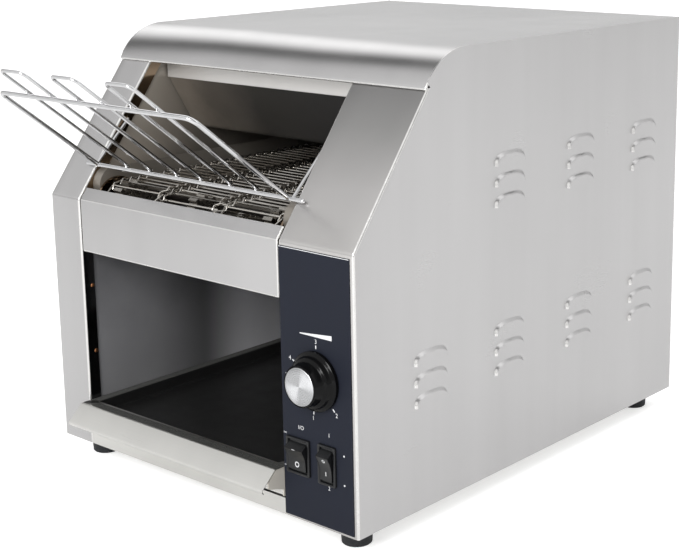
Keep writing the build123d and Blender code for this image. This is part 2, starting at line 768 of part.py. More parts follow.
with BuildPart() as gear_motor:
    with BuildSketch(side_plane(bracket_x)):
        with Locations(side_point(rear_shaft_back, shaft_height)):
            RectangleRounded(50, 50, 6)
    extrude(amount=gearbox_depth)
    with BuildSketch(side_plane(bracket_x + gearbox_depth)):
        with Locations(side_point(rear_shaft_back, shaft_height)):
            Circle(21)
    extrude(amount=inner_half - 6 - bracket_x - gearbox_depth)
    with BuildSketch(side_plane(bracket_x)):
        with Locations(side_point(rear_shaft_back, shaft_height)):
            Circle(stub_radius + shaft_fit)
    extrude(amount=12, mode=Mode.SUBTRACT)
save(gear_motor.part, "gear_motor")

with BuildPart() as motor_stub_shaft:
    with BuildSketch(side_plane(coupling_left + coupling_length / 2 + 1)):
        with Locations(side_point(rear_shaft_back, shaft_height)):
            Circle(stub_radius)
    extrude(amount=coupling_length / 2 + 1 + 10)
save(motor_stub_shaft.part, "motor_stub_shaft")

with BuildPart() as shaft_coupling:
    with BuildSketch(side_plane(coupling_left)):
        with Locations(side_point(rear_shaft_back, shaft_height)):
            Circle(9.5)
            Circle(shaft_radius + shaft_fit, mode=Mode.SUBTRACT)
    extrude(amount=coupling_length / 2)
    with BuildSketch(side_plane(coupling_left + coupling_length / 2)):
        with Locations(side_point(rear_shaft_back, shaft_height)):
            Circle(9.5)
            Circle(stub_radius + shaft_fit, mode=Mode.SUBTRACT)
    extrude(amount=coupling_length / 2)
save(shaft_coupling.part, "shaft_coupling")

# ---------------------------------------------------------------- rear services
with BuildPart() as fan_frame:
    fan_back = case_depth - sheet
    with BuildSketch(front_plane(fan_back)):
        with Locations(fan_spot):
            RectangleRounded(fan_size, fan_size, 4)
            Circle(fan_bore, mode=Mode.SUBTRACT)
    extrude(amount=fan_depth)
    with BuildSketch(front_plane(fan_back)):
        with Locations(fan_spot):
            Circle(10.5)
            with PolarLocations(0, 3, start_angle=90):
                with Locations((fan_bore / 2 + 1, 0)):
                    Rectangle(fan_bore, 3)
    extrude(amount=2)
    with BuildSketch(front_plane(fan_back)):
        with Locations(fan_spot):
            Circle(1.5)
    extrude(amount=fan_depth - 2)
save(fan_frame.part, "fan_frame")

with BuildPart() as fan_rotor:
    rotor_front = fan_back - 2 - seat_gap
    rotor_depth = fan_depth - 4
    with BuildSketch(front_plane(rotor_front)):
        with Locations(fan_spot):
            Circle(10)
            Circle(1.5 + shaft_fit, mode=Mode.SUBTRACT)
    extrude(amount=rotor_depth)
    for blade in range(7):
        turn = radians(blade * 360 / 7)
        out = Vector(cos(turn), 0, sin(turn))
        across = Vector(-sin(turn), 0, cos(turn))
        tilted = across * cos(radians(35)) + Vector(0, 1, 0) * sin(radians(35))
        centre = Vector(fan_spot[0], front_y + rotor_front - rotor_depth / 2, fan_spot[1]) + out * 9
        with BuildSketch(Plane(origin=centre, x_dir=tilted, z_dir=out)):
            Rectangle(12, 1.2)
        extrude(amount=fan_bore - 9 - 1.5)
save(fan_rotor.part, "fan_rotor")

with BuildPart() as cable_gland:
    gland_plane = front_plane(case_depth + gland_proud)
    with BuildSketch(front_plane(case_depth)):
        with Locations(gland_spot):
            RegularPolygon(11, 6)
    extrude(amount=-5)
    with BuildSketch(gland_plane):
        with Locations(gland_spot):
            Circle(8)
    extrude(amount=gland_proud - 5)
    with BuildSketch(front_plane(case_depth)):
        with Locations(gland_spot):
            Circle(gland_radius)
    extrude(amount=8)
    with BuildSketch(front_plane(case_depth - sheet)):
        with Locations(gland_spot):
            RegularPolygon(10.5, 6)
    extrude(amount=4)
    with BuildSketch(gland_plane):
        with Locations(gland_spot):
            Circle(gland_bore)
    extrude(amount=gland_proud + 20, mode=Mode.SUBTRACT)
save(cable_gland.part, "cable_gland")

block_x = gland_spot[0] - 5.0
block_back = case_depth - 71.0
block_length = 46.0
block_width = 18.0
block_high = 21.0
with BuildPart() as terminal_block:
    add(box_between((block_x - block_length / 2, block_back - block_width / 2, sheet),
                    (block_x + block_length / 2, block_back + block_width / 2, block_high)))
    with BuildSketch(level(block_high)):
        with Locations((block_x, front_y + block_back)):
            with GridLocations(11, 0, 4, 1):
                Circle(3.2)
    extrude(amount=-6, mode=Mode.SUBTRACT)
save(terminal_block.part, "terminal_block")

foot_inset = 26.0
foot_radius = 12.5
foot_tip_radius = 9.5
with BuildPart() as feet:
    with BuildSketch(Plane.XY):
        with Locations((0, front_y + case_depth / 2)):
            with GridLocations(case_width - 2 * foot_inset, case_depth - 2 * foot_inset, 2, 2):
                Circle(foot_tip_radius)
    foot_taper = degrees(atan2(foot_radius - foot_tip_radius, foot_height))
    extrude(amount=foot_height, taper=-foot_taper)
save(feet.part, "feet")

# ---------------------------------------------------------------- controls
overlay_left = 0.3            # from the opening's edge
overlay_right = 4.0           # from the casing's side
overlay_low = 2.0             # from the casing's underside
overlay_top = 3.5             # from the bend
with BuildPart() as control_overlay:
    with BuildSketch(front_plane(0)):
        with Locations((opening_right + overlay_left, foot_height + overlay_low)):
            Rectangle(control_column - overlay_left - overlay_right, bend_height - overlay_low - overlay_top,
                      align=(Align.MIN, Align.MIN))
        add(control_cutouts(0.1), mode=Mode.SUBTRACT)
    extrude(amount=overlay_thickness)
save(control_overlay.part, "control_overlay")

spindle_radius = 3.0
with BuildPart() as speed_control:
    knob_spot = (knob_x, foot_height + knob_height)
    with BuildSketch(front_plane(sheet)):
        with Locations(knob_spot):
            Circle(17)
    extrude(amount=-20)
    with BuildSketch(front_plane(sheet)):
        with Locations(knob_spot):
            Circle(bushing_radius)
    extrude(amount=sheet + 4)
    with BuildSketch(front_plane(-8)):
        with Locations(knob_spot):
            Circle(spindle_radius + shaft_fit)
    extrude(amount=-24, mode=Mode.SUBTRACT)
save(speed_control.part, "speed_control")

with BuildPart() as control_spindle:
    with BuildSketch(front_plane(13)):
        with Locations(knob_spot):
            Circle(spindle_radius)
    extrude(amount=13 + 16)
save(control_spindle.part, "control_spindle")

knob_start = overlay_thickness + seat_gap
knob_recess = 5.0             # end of the hollow round the bushing
knob_bore_end = 16.0
with BuildPart() as speed_knob:
    with BuildSketch(Plane.XY):
        with BuildLine():
            # radius against distance out of the panel: the bore, the skirt, then the grip up to the cap
            Polyline((0, knob_bore_end), (spindle_radius + shaft_fit, knob_bore_end),
                     (spindle_radius + shaft_fit, knob_recess), (bushing_radius + 1, knob_recess),
                     (bushing_radius + 1, knob_start), (knob_radius, knob_start),
                     (knob_radius, knob_start + 2.6), (knob_radius - 4, knob_start + 5),
                     (knob_cap_radius + 0.8, knob_depth), (knob_cap_radius, knob_depth),
                     (knob_cap_radius, knob_depth - 1), (0, knob_depth - 1), close=True)
        make_face()
    revolve(axis=Axis.Y)
knob_place = Location((knob_x, front_y, foot_height + knob_height), (180, 0, 0))
save(speed_knob.part.moved(knob_place), "speed_knob")

with BuildPart() as knob_cap:
    with BuildSketch(front_plane(-knob_depth + 1)):
        with Locations(knob_spot):
            Circle(knob_cap_radius - 0.1)
    extrude(amount=0.9)
save(knob_cap.part, "knob_cap")

bezel_proud = 2.8
pivot_back = 3.5
pin_radius = 1.2
rocker_play = 0.4
rocker_wall = 1.3


def switch_sizes(size):
    """Width and half height of the rocker in a bezel of the given size."""
    width = size[0] - 2 * (bezel_wall + rocker_wall) + 1.0
    return width, size[1] / 2 - bezel_wall / 2 - rocker_wall - rocker_play


def switch_housing(x, size):
    """Bezel and box of a rocker switch, with the pocket that the rocker turns in."""
    width, half = switch_sizes(size)
    spot = (x, foot_height + switch_height)
    with BuildPart() as housing:
        with BuildSketch(front_plane(-overlay_thickness)):
            with Locations(spot):
                RectangleRounded(size[0], size[1], 1.2)
        extrude(amount=bezel_proud - overlay_thickness)
        with BuildSketch(front_plane(-overlay_thickness)):
            with Locations(spot):
                Rectangle(size[0] - bezel_wall, size[1] - bezel_wall)
        extrude(amount=-24)
        with BuildSketch(front_plane(-bezel_proud)):
            with Locations(spot):
                Rectangle(width + 2 * rocker_play, 2 * (half + rocker_play))
        extrude(amount=-bezel_proud - 13, mode=Mode.SUBTRACT)
        with BuildSketch(side_plane(x)):
            with Locations(side_point(pivot_back, switch_height)):
                Circle(pin_radius + shaft_fit)
        extrude(amount=width / 2 + rocker_play + 0.6, both=True, mode=Mode.SUBTRACT)
    return housing


def switch_rocker(x, size):
    """Rocker pressed in at its lower end, with its two pivot pins."""
    width, half = switch_sizes(size)
    with BuildPart() as rocker:
        with BuildSketch(side_plane(x - width / 2)):
            with Locations(Location((*side_point(pivot_back, switch_height), 0), (0, 0, rocker_tilt))):
                with BuildSketch(mode=Mode.PRIVATE) as flank:
                    with BuildLine():
                        Polyline((-9, half - 3.5), (-1, half - 0.3), (4, half - 3), (6.5, 3), (6.5, -3),
                                 (4, 3 - half), (-1, 0.3 - half), (-9, 3.5 - half))
                        ThreePointArc((-9, 3.5 - half), (-7.2, 0), (-9, half - 3.5))
                    make_face()
                add(flank.sketch)
        extrude(amount=width)
        with BuildSketch(side_plane(x)):
            with Locations(side_point(pivot_back, switch_height)):
                Circle(pin_radius)
        extrude(amount=width / 2 + rocker_play + 0.4, both=True)
    return rocker


for name, x, size in (("power", power_switch_x, power_switch_size),
                      ("mode", mode_switch_x, mode_switch_size)):
    save(switch_housing(x, size).part, f"{name}_switch_housing")
    save(switch_rocker(x, size).part, f"{name}_switch_rocker")

# ---------------------------------------------------------------- tray
tray_side_gap = 0.5
tray_left = opening_left + tray_side_gap
tray_right = opening_right - tray_side_gap
lip_drop = 13.5
lip_flat = 9.5                # level part of the lip, in front of the tray's face
cheek_reach = 17.5            # of the two cheeks that close the lip's ends
cheek_drop = 8.0
cheek_rise = 11.0
with BuildPart() as crumb_tray:
    add(box_between((tray_left, -sheet, tray_low), (tray_right, tray_length, tray_low + sheet)))
    for low_x, high_x in ((tray_left, tray_left + sheet), (tray_right - sheet, tray_right)):
        add(box_between((low_x, -sheet, tray_low), (high_x, tray_length, tray_top)))
        with BuildSketch(side_plane(low_x)):
            with BuildLine():
                Polyline(side_point(0, tray_low), side_point(0, tray_top), side_point(-lip_flat, tray_top),
                         side_point(-cheek_reach, tray_top - cheek_drop),
                         side_point(-cheek_reach, tray_low + cheek_rise), close=True)
            make_face()
        extrude(amount=sheet)
    add(box_between((tray_left, tray_length - sheet, tray_low), (tray_right, tray_length, tray_top)))
    add(box_between((tray_left, -sheet, tray_low), (tray_right, 0, tray_top)))
    with BuildSketch(side_plane(tray_left)):
        with BuildLine():
            Polyline(side_point(0, tray_top), side_point(-lip_flat, tray_top),
                     side_point(-tray_reach, tray_top - lip_drop),
                     side_point(-tray_reach + 0.6, tray_top - lip_drop - 1),
                     side_point(-lip_flat + 0.3, tray_top - sheet),
                     side_point(0, tray_top - sheet), close=True)
        make_face()
    extrude(amount=tray_right - tray_left)
save(crumb_tray.part, "crumb_tray")

pan_rim = 8.0
pan_depth = 11.0
with BuildPart() as toast_pan:
    pan_front = 0.5 - lip_flat
    pan_rear = tray_length
    pan_low = tray_top - pan_depth
    inner_left = tray_left + pan_rim
    inner_right = tray_right - pan_rim
    pan_inner_front = seat_gap
    add(box_between((tray_left, pan_front, tray_top), (tray_right, pan_rear, tray_top + sheet)))
    add(box_between((inner_left, pan_inner_front, pan_low),
                    (inner_right, pan_rear - pan_rim, tray_top + sheet)))
    add(box_between((inner_left + sheet, pan_inner_front + sheet, pan_low + sheet),
                    (inner_right - sheet, pan_rear - pan_rim - sheet, tray_top + 5)), mode=Mode.SUBTRACT)
save(toast_pan.part, "toast_pan")

rail_high = tray_low - seat_gap
rail_width = 12.0
rail_rear = tray_length + 40.0
with BuildPart() as tray_rails:
    for low_x, high_x, low_wall, high_wall in (
            (left_wall, left_wall + rail_width, left_wall, left_wall + sheet),
            (right_wall - rail_width, right_wall, right_wall - sheet, right_wall)):
        add(box_between((low_x, return_depth, rail_high - sheet), (high_x, rail_rear, rail_high)))
        add(box_between((low_wall, return_depth, sheet), (high_wall, rail_rear, rail_high)))
save(tray_rails.part, "tray_rails")

# ---------------------------------------------------------------- feed rack
rack_up = Vector(0, -cos(radians(rack_rise)), sin(radians(rack_rise)))
rack_bar_centre = Vector(opening_middle, *side_point(rack_bar_back, rack_bar_height))


def rack_plane(lift):
    """Plane of the rack's wires at a height above the frame, with X to the right and the free end up."""
    underneath = Vector(1, 0, 0).cross(rack_up)
    return Plane(origin=rack_bar_centre - underneath * lift, x_dir=(1, 0, 0), z_dir=underneath)


wire_sides = 8                # a bent wire is drawn with flats, to stay light


def wire_hoop(plane, half, length, start, corner, radius):
    """U of wire with its open end towards the bar."""
    with BuildPart() as hoop:
        with BuildLine(plane) as path:
            FilletPolyline((-half, start), (-half, length), (half, length), (half, start), radius=corner)
        with BuildSketch(Plane(origin=path.line @ 0, z_dir=path.line % 0)):
            RegularPolygon(radius, wire_sides)
        sweep()
    return hoop.part


bar_end = rack_half_width + rack_bar_overhang
with BuildPart() as rack_bar:
    with BuildSketch(side_plane(opening_middle - bar_end)):
        with Locations(side_point(rack_bar_back, rack_bar_height)):
            Circle(rack_wire / 2)
    extrude(amount=2 * bar_end)
save(rack_bar.part, "rack_bar")

with BuildPart() as rack_frame:
    frame_start = rack_wire / 2 + rack_wire_gap
    add(wire_hoop(rack_plane(0), rack_half_width, rack_frame_length, frame_start, rack_frame_corner,
                  rack_wire / 2))
save(rack_frame.part, "rack_frame")

with BuildPart() as rack_loops:
    loop = wire_hoop(rack_plane(rack_loop_lift), rack_loop_width / 2, rack_loop_length, 0, rack_loop_corner,
                     rack_wire_radius)
    for place in (-rack_loop_spacing, 0, rack_loop_spacing):
        add(loop.moved(Location((place, 0, 0))))
save(rack_loops.part, "rack_loops")

pin_out = 7.0
arm_inset = 2.6               # from the opening's edge to an arm's middle
with BuildPart() as rack_arms:
    for side, arm_x in ((-1, opening_left + arm_inset), (1, opening_right - arm_inset)):
        bar_side = Vector(arm_x, *side_point(rack_bar_back, rack_bar_height))
        pivot = Vector(arm_x, *rack_pivot_spot)
        along = (pivot - bar_side).normalized()
        with BuildLine() as arm_path:
            FilletPolyline(bar_side + along * (rack_wire / 2 + rack_wire_gap), pivot,
                           pivot + Vector(side * pin_out, 0, 0), radius=rack_loop_wire)
        with BuildSketch(Plane(origin=arm_path.line @ 0, z_dir=arm_path.line % 0)):
            RegularPolygon(rack_wire_radius, wire_sides)
        sweep()
save(rack_arms.part, "rack_arms")
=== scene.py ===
"""Looks of a counter-top conveyor toaster: folded satin steel, wire belt, feed rack, tray and controls."""
from math import cos, pi, radians, sin, tan

import bmesh
import bpy
import numpy as np
from bpy.props import FloatProperty, FloatVectorProperty, PointerProperty
from mathutils import Matrix, Vector


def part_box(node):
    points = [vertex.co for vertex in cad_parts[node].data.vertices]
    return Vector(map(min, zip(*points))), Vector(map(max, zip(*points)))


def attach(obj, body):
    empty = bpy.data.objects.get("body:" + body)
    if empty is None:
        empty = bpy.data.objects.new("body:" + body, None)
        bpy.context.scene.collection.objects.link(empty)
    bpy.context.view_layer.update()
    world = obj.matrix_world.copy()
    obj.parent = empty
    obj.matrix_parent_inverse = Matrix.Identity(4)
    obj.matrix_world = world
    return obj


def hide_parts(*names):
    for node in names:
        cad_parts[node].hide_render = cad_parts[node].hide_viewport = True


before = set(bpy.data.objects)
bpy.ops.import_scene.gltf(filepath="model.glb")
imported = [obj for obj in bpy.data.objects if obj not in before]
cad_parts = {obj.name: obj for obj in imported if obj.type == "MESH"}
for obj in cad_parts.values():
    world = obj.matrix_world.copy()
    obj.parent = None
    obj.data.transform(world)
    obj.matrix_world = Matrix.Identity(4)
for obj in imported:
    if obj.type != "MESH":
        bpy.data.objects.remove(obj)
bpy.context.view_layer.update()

bl_info = {
    "name": "Conveyor Toaster",
    "version": (1, 0, 0),
    "blender": (4, 5, 0),
    "location": "3D View > Sidebar > Toaster",
    "description": "Dresses a conveyor toaster in its real finishes",
    "category": "Object",
}

MM = 0.001


# ------------------------------------------------------------------ places, most of them from the frame
def corner(node, high, axis):
    """One coordinate of a node's box."""
    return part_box(node)[1 if high else 0][axis]


def middle_of(node):
    """Middle of a node's box."""
    low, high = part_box(node)
    return (np.array(low) + np.array(high)) / 2


FRONT = corner("base_pan", False, 1)
REAR = corner("top_cover", True, 1)
UNDER = corner("base_pan", False, 2)
TOP = corner("top_cover", True, 2)
HALF = corner("top_cover", True, 0)
OPEN_LEFT = corner("header_strip", False, 0)
OPEN_RIGHT = corner("header_strip", True, 0)
OPEN_MIDDLE = (OPEN_LEFT + OPEN_RIGHT) / 2
FASCIA_LOW = corner("front_fascia", False, 2)
FASCIA_LIP = corner("front_fascia", True, 2)

BEND = UNDER + 226.5 * MM          # where the upright front turns into the slope
SLOPE = radians(52.6)
HOOD_RADIUS = 57 * MM
HOOD_BACK = FRONT + 134 * MM       # axis of the hood's curve
HOOD_SWEEP = radians(60.3)
HOOD_AXIS = np.array([HOOD_BACK, TOP - HOOD_RADIUS])


def linear(text):
    """Linear RGBA of an sRGB hex colour: x / 12.92 up to 0.04045, and ((x + 0.055) / 1.055) ** 2.4 above."""
    parts = [int(text[i:i + 2], 16) / 255 for i in (1, 3, 5)]
    return tuple(c / 12.92 if c <= 0.04045 else ((c + 0.055) / 1.055) ** 2.4 for c in parts) + (1.0,)


def length(name, description, millimetres):
    """Property that holds a length."""
    return FloatProperty(name=name, description=description, default=millimetres * MM, subtype="DISTANCE",
                         unit="LENGTH")


def colour(name, description, text):
    """Property that holds a colour, given as sRGB hex."""
    return FloatVectorProperty(name=name, description=description, default=linear(text), size=4,
                               subtype="COLOR", min=0, max=1)


class ToasterSizes(bpy.types.PropertyGroup):
    """Sizes of the folded sheet, the wires and the small details."""
    sheet: length("Sheet", "Thickness of the casing's steel", 1.2)
    bend_radius: length("Bend radius", "Outer radius of the folds", 1.7)
    flange_depth: length("Return flange", "Depth of the flange beside the opening", 12)
    baffle_drop: length("Baffle drop", "How far the baffle hangs below its solid", 16)
    louvre_length: length("Louvre length", "Length of a side louvre", 43)
    louvre_height: length("Louvre height", "Height of a side louvre", 11)
    louvre_proud: length("Louvre bulge", "How far a louvre stands out", 2.6)
    louvre_wall: length("Louvre wall", "Run of the slope at a louvre's edge", 2.8)
    louvre_pitch: length("Louvre pitch", "Height between two louvres", 17.5)
    belt_wire: length("Belt wire", "Diameter of the belt's wire", 1.8)
    rack_wire: length("Rack wire", "Diameter of the rack's frame and bar", 4.0)
    rack_loop_wire: length("Loop wire", "Diameter of the rack's loops and arms", 3.0)
    knob_radius: length("Knob radius", "Radius of the speed knob's skirt", 24)
    print_height: length("Number height", "Height of the numbers round the knob", 3.6)


class ToasterColours(bpy.types.PropertyGroup):
    """Colours of the finishes."""
    steel: colour("Satin steel", "Brushed stainless steel", "#C8C7C7")
    # painted highlight: the lighter colour that folds, edges and the louvres' lower front corners get
    painted_bright: colour("Fold highlight", "Stainless steel where a fold is buffed", "#EDECEA")
    chamber: colour("Chamber steel", "Stainless steel browned by heat", "#8F8981")
    wall: colour("Lower wall", "Stainless steel of the collection chamber", "#86868A")
    chrome: colour("Chromed wire", "Wire of the feed rack", "#DEDEDF")
    belt: colour("Belt wire", "Drawn stainless wire", "#C8C4BE")
    pan: colour("Pan coating", "Baked dark coating of the toast pan", "#1C1C1C")
    overlay: colour("Overlay film", "Printed film behind the controls", "#232630")
    mark: colour("Print", "Ink of the panel's marks", "#E9EAEC")
    black: colour("Black plastic", "Knob and switches", "#0B0B0C")
    cap: colour("Knob cap", "Spun aluminium", "#E4E5E7")
    rubber: colour("Rubber", "Feet", "#1B1D21")


# ------------------------------------------------------------------ surfaces
def unit(vectors):
    """Vectors of length one: v / |v|."""
    vectors = np.asarray(vectors, float)
    return vectors / np.maximum(np.linalg.norm(vectors, axis=-1, keepdims=True), 1e-12)


def rounded_path(corners, radii, steps=6):
    """Straight runs joined by arcs: centre + (start - centre) * cos(t) + into * radius * sin(t).

    Along an arc t goes from 0 to the turn.

    Returns the points, and for each whether it lies on an arc."""
    corners = np.asarray(corners, float)
    points, on_arc = [corners[:1]], [[False]]
    for before, here, after, radius in zip(corners, corners[1:], corners[2:], radii):
        into, out = unit(here - before), unit(after - here)
        turn = np.arccos(np.clip(into @ out, -1, 1))
        start = here - into * radius * tan(turn / 2)
        centre = here + unit(out - into) * radius / cos(turn / 2)
        t = np.linspace(0, turn, steps + 1)[:, None]
        points.append(centre + (start - centre) * np.cos(t) + into * radius * np.sin(t))
        on_arc.append([True] * steps + [False])
    points.append(corners[-1:])
    on_arc.append([False])
    return np.vstack(points), np.concatenate(on_arc)


def grid_faces(rows, columns, wrap_rows=False, wrap_columns=False, caps=False):
    """Quads between neighbouring rows and columns of a grid, and the faces that close its ends."""
    index = np.arange(rows * columns).reshape(rows, columns)
    first, last = index[0], index[-1]
    if wrap_rows:
        index = np.vstack([index, index[:1]])
    if wrap_columns:
        index = np.hstack([index, index[:, :1]])
    quads = np.stack([index[:-1, :-1], index[:-1, 1:], index[1:, 1:], index[1:, :-1]], axis=-1)
    faces = quads.reshape(-1, 4).tolist()
    if caps:
        faces += [first[::-1].tolist(), last.tolist()]
    return faces


def surface(points, **options):
    """Vertices and faces of a grid of points with shape (rows, columns, 3)."""
    rows, columns = points.shape[:2]
    return points.reshape(-1, 3), grid_faces(rows, columns, **options)


def merged(surfaces):
    """Several surfaces as one."""
    vertices, faces, count = [], [], 0
    for points, polygons in surfaces:
        vertices.append(points)
        faces += [[i + count for i in polygon] for polygon in polygons]
        count += len(points)
    return np.vstack(vertices), faces


def sharpen_rim(mesh):
    """Marks the edges that belong to one face only, so that the rim of a sheet shades on its own."""
    owner = np.empty(len(mesh.loops), np.int32)
    mesh.loops.foreach_get("edge_index", owner)
    sharp = np.empty(len(mesh.edges), bool)
    mesh.edges.foreach_get("use_edge_sharp", sharp)
    mesh.edges.foreach_set("use_edge_sharp", sharp | (np.bincount(owner, minlength=len(sharp)) == 1))


def build(name, shape, materials, body, replaced=(), sharp=35, indices=None, outward=True):
    """Object from vertices, faces and the names of its finishes.

    Doubles are merged, faces turned outwards, and edges smooth up to an angle. The piece rides on a body,
    stands for the replaced nodes, and fills a slot."""
    vertices, faces = shape
    mesh = bpy.data.meshes.new(name)
    mesh.from_pydata(vertices.tolist(), [], faces)
    for material in materials:
        mesh.materials.append(finishes()[material])
    if indices is not None:
        mesh.polygons.foreach_set("material_index", np.asarray(indices, np.int32))
    edit = bmesh.new()
    edit.from_mesh(mesh)
    bmesh.ops.remove_doubles(edit, verts=edit.verts, dist=1e-6)
    bmesh.ops.dissolve_degenerate(edit, edges=edit.edges, dist=1e-7)
    if outward:
        bmesh.ops.recalc_face_normals(edit, faces=edit.faces)
    edit.to_mesh(mesh)
    edit.free()
    mesh.polygons.foreach_set("use_smooth", np.ones(len(mesh.polygons), bool))
    mesh.set_sharp_from_angle(angle=radians(sharp))
    if not outward:
        sharpen_rim(mesh)
    piece = bpy.data.objects.new(name, mesh)
    bpy.context.scene.collection.objects.link(piece)
    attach(piece, body)
    if replaced:
        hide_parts(*replaced)
    return piece


def thicken(piece, thickness):
    """Gives a single skin the thickness of its sheet, inwards."""
    wall = piece.modifiers.new("sheet", "SOLIDIFY")
    wall.thickness = thickness
    wall.offset = -1.0


def tube(path, radius, reference, sides):
    """Ring of given radius carried along a path, square to it: path + radius * (cos a * n + sin a * b).

    Its ends are rounded by three rings each, radius * cos t wide and radius * sin t past the path."""
    path = np.asarray(path, float)
    tangent = unit(np.gradient(path, axis=0))
    angles = np.radians([75, 45, 20])[:, None]
    head = path[0] - tangent[0] * radius * np.sin(angles)
    tail = path[-1] + tangent[-1] * radius * np.sin(angles[::-1])
    shrink = radius * np.cos(angles).ravel()
    radii = np.concatenate([shrink, np.full(len(path), radius), shrink[::-1]])
    path = np.vstack([head, path, tail])
    tangent = np.vstack([np.repeat(tangent[:1], 3, 0), tangent, np.repeat(tangent[-1:], 3, 0)])
    side = unit(np.cross(tangent, reference))
    up = np.cross(side, tangent)
    a = np.linspace(0, 2 * pi, sides, endpoint=False)[None, :, None]
    circle = np.cos(a) * up[:, None] + np.sin(a) * side[:, None]
    return surface(path[:, None] + circle * radii[:, None, None], wrap_columns=True, caps=True)


def turned(profile, centre, axis, up, sides=64):
    """Profile of (radius, distance along the axis) turned about the axis: centre + d * axis + r * circle."""
    axis, up = unit(axis), unit(up)
    side = np.cross(axis, up)
    profile = np.asarray(profile, float)
    a = np.linspace(0, 2 * pi, sides, endpoint=False)[None, :, None]
    circle = np.cos(a) * up + np.sin(a) * side
    points = np.asarray(centre) + profile[:, 1, None, None] * axis + profile[:, 0, None, None] * circle
    return surface(points, wrap_columns=True, caps=True)


def path_normals(path, closed=False):
    """Normals on the left of a path in the side view (y, z)."""
    if closed:
        tangent = unit(np.roll(path, -1, 0) - np.roll(path, 1, 0))
    else:
        tangent = unit(np.gradient(path, axis=0))
    return np.stack([-tangent[:, 1], tangent[:, 0]], axis=-1)


def bent_sheet(path, on_arc, low_x, high_x, thickness, side=1):
    """Folded sheet: its outer skin follows path in the side view, its long edges are quarter rounds.

    A section across it is a loop of (x, depth): up the left edge, over the skin, down the right edge and
    back along the inner skin. Each loop point stands at path - normal * depth. The second result says
    which faces lie on a fold or an edge."""
    normal = path_normals(path) * side
    a = np.linspace(0, pi / 2, 5)
    left = np.stack([low_x + thickness * (1 - np.cos(a)), thickness * (1 - np.sin(a))], axis=-1)
    right = np.stack([high_x - thickness * (1 - np.cos(a[::-1])), thickness * (1 - np.sin(a[::-1]))], axis=-1)
    across = np.linspace(low_x + thickness, high_x - thickness, 4)[1:-1]
    skin = np.stack([across, np.zeros_like(across)], axis=-1)
    loop = np.vstack([left, skin, right])
    rows = len(path)
    points = np.empty((rows, len(loop), 3))
    points[..., 0] = loop[:, 0]
    points[..., 1:] = path[:, None] - normal[:, None] * loop[None, :, 1:2]
    shape = surface(points, wrap_columns=True, caps=True)
    edge_columns = np.zeros(len(loop), bool)
    edge_columns[:len(left) - 1] = True
    edge_columns[-len(right):-1] = True
    flags = on_arc[:-1, None] | edge_columns[None]
    flags[:, -1] = False
    return shape, np.concatenate([flags.ravel().astype(int), [1, 1]])


def slab(outline, low_x, high_x, edge):
    """Closed outline in the side view carried along X, its two ends rounded by a quarter circle."""
    outline = np.asarray(outline, float)
    normal = path_normals(outline, closed=True)
    a = np.linspace(0, pi / 2, 4)
    inset = np.concatenate([edge * (1 - np.sin(a)), edge * (1 - np.sin(a[::-1]))])
    x = np.concatenate([low_x + edge * (1 - np.cos(a)), high_x - edge * (1 - np.cos(a[::-1]))])
    points = np.empty((len(x), len(outline), 3))
    points[..., 0] = x[:, None]
    points[..., 1:] = outline[None] + normal[None] * inset[:, None, None]
    return surface(points, wrap_columns=True, caps=True)


def rounded_rectangle(width, height, radius, steps=5):
    """Loop of (x, z) points: four corner arcs, centre + radius * (cos t, sin t)."""
    t = np.radians(np.linspace(0, 90, steps + 1))
    loops = []
    for quarter, (sx, sz) in enumerate(((1, 1), (-1, 1), (-1, -1), (1, -1))):
        angle = t + quarter * pi / 2
        loops.append(np.stack([sx * (width / 2 - radius) + radius * np.cos(angle),
                               sz * (height / 2 - radius) + radius * np.sin(angle)], axis=-1))
    return np.vstack(loops)


def framed(levels, centre):
    """Stack of rounded rectangles seen from the front, each (width, height, radius, y), joined in order."""
    points = []
    for width, height, radius, y in levels:
        loop = rounded_rectangle(width, height, radius)
        points.append(np.stack([centre[0] + loop[:, 0], np.full(len(loop), y), centre[1] + loop[:, 1]],
                               axis=-1))
    return surface(np.array(points), wrap_columns=True, caps=True)


# ------------------------------------------------------------------ materials
def add_node(tree, kind, links=(), **settings):
    """Adds a node, sets its attributes and sockets, and links (output, socket name) pairs into it."""
    node = tree.nodes.new(kind)
    for name, value in settings.items():
        if name in node.inputs:
            node.inputs[name].default_value = value
        else:
            setattr(node, name, value)
    for output, socket in links:
        tree.links.new(output, node.inputs[socket])
    return node


def new_material(name, metallic=0.0):
    """Material with one principled shader; returns its tree and the shader."""
    material = bpy.data.materials.new(name)
    material.use_nodes = True
    tree = material.node_tree
    tree.nodes.clear()
    output = add_node(tree, "ShaderNodeOutputMaterial")
    shader = add_node(tree, "ShaderNodeBsdfPrincipled")
    shader.inputs["Metallic"].default_value = metallic
    tree.links.new(shader.outputs["BSDF"], output.inputs["Surface"])
    return tree, shader


def grain(tree, spacing, stretch, axis):
    """Noise with streaks of that spacing in metres across the grain, stretch times longer along axis."""
    scale = [1 / spacing] * 3
    scale[axis] /= stretch
    coordinates = add_node(tree, "ShaderNodeTexCoord")
    mapping = add_node(tree, "ShaderNodeMapping", [(coordinates.outputs["Object"], "Vector")], Scale=scale)
    return add_node(tree, "ShaderNodeTexNoise", [(mapping.outputs["Vector"], "Vector")], Scale=1.0, Detail=3.0,
                    Roughness=0.6).outputs["Fac"]


def cloud(tree, size):
    """Soft noise with patches of that size in metres."""
    coordinates = add_node(tree, "ShaderNodeTexCoord")
    return add_node(tree, "ShaderNodeTexNoise", [(coordinates.outputs["Object"], "Vector")], Scale=1 / size,
                    Detail=4.0, Roughness=0.55).outputs["Fac"]


def axes(tree, kind="Object"):
    """X, Y and Z of a place or a direction."""
    coordinates = add_node(tree, "ShaderNodeTexCoord")
    return add_node(tree, "ShaderNodeSeparateXYZ", [(coordinates.outputs[kind], "Vector")]).outputs


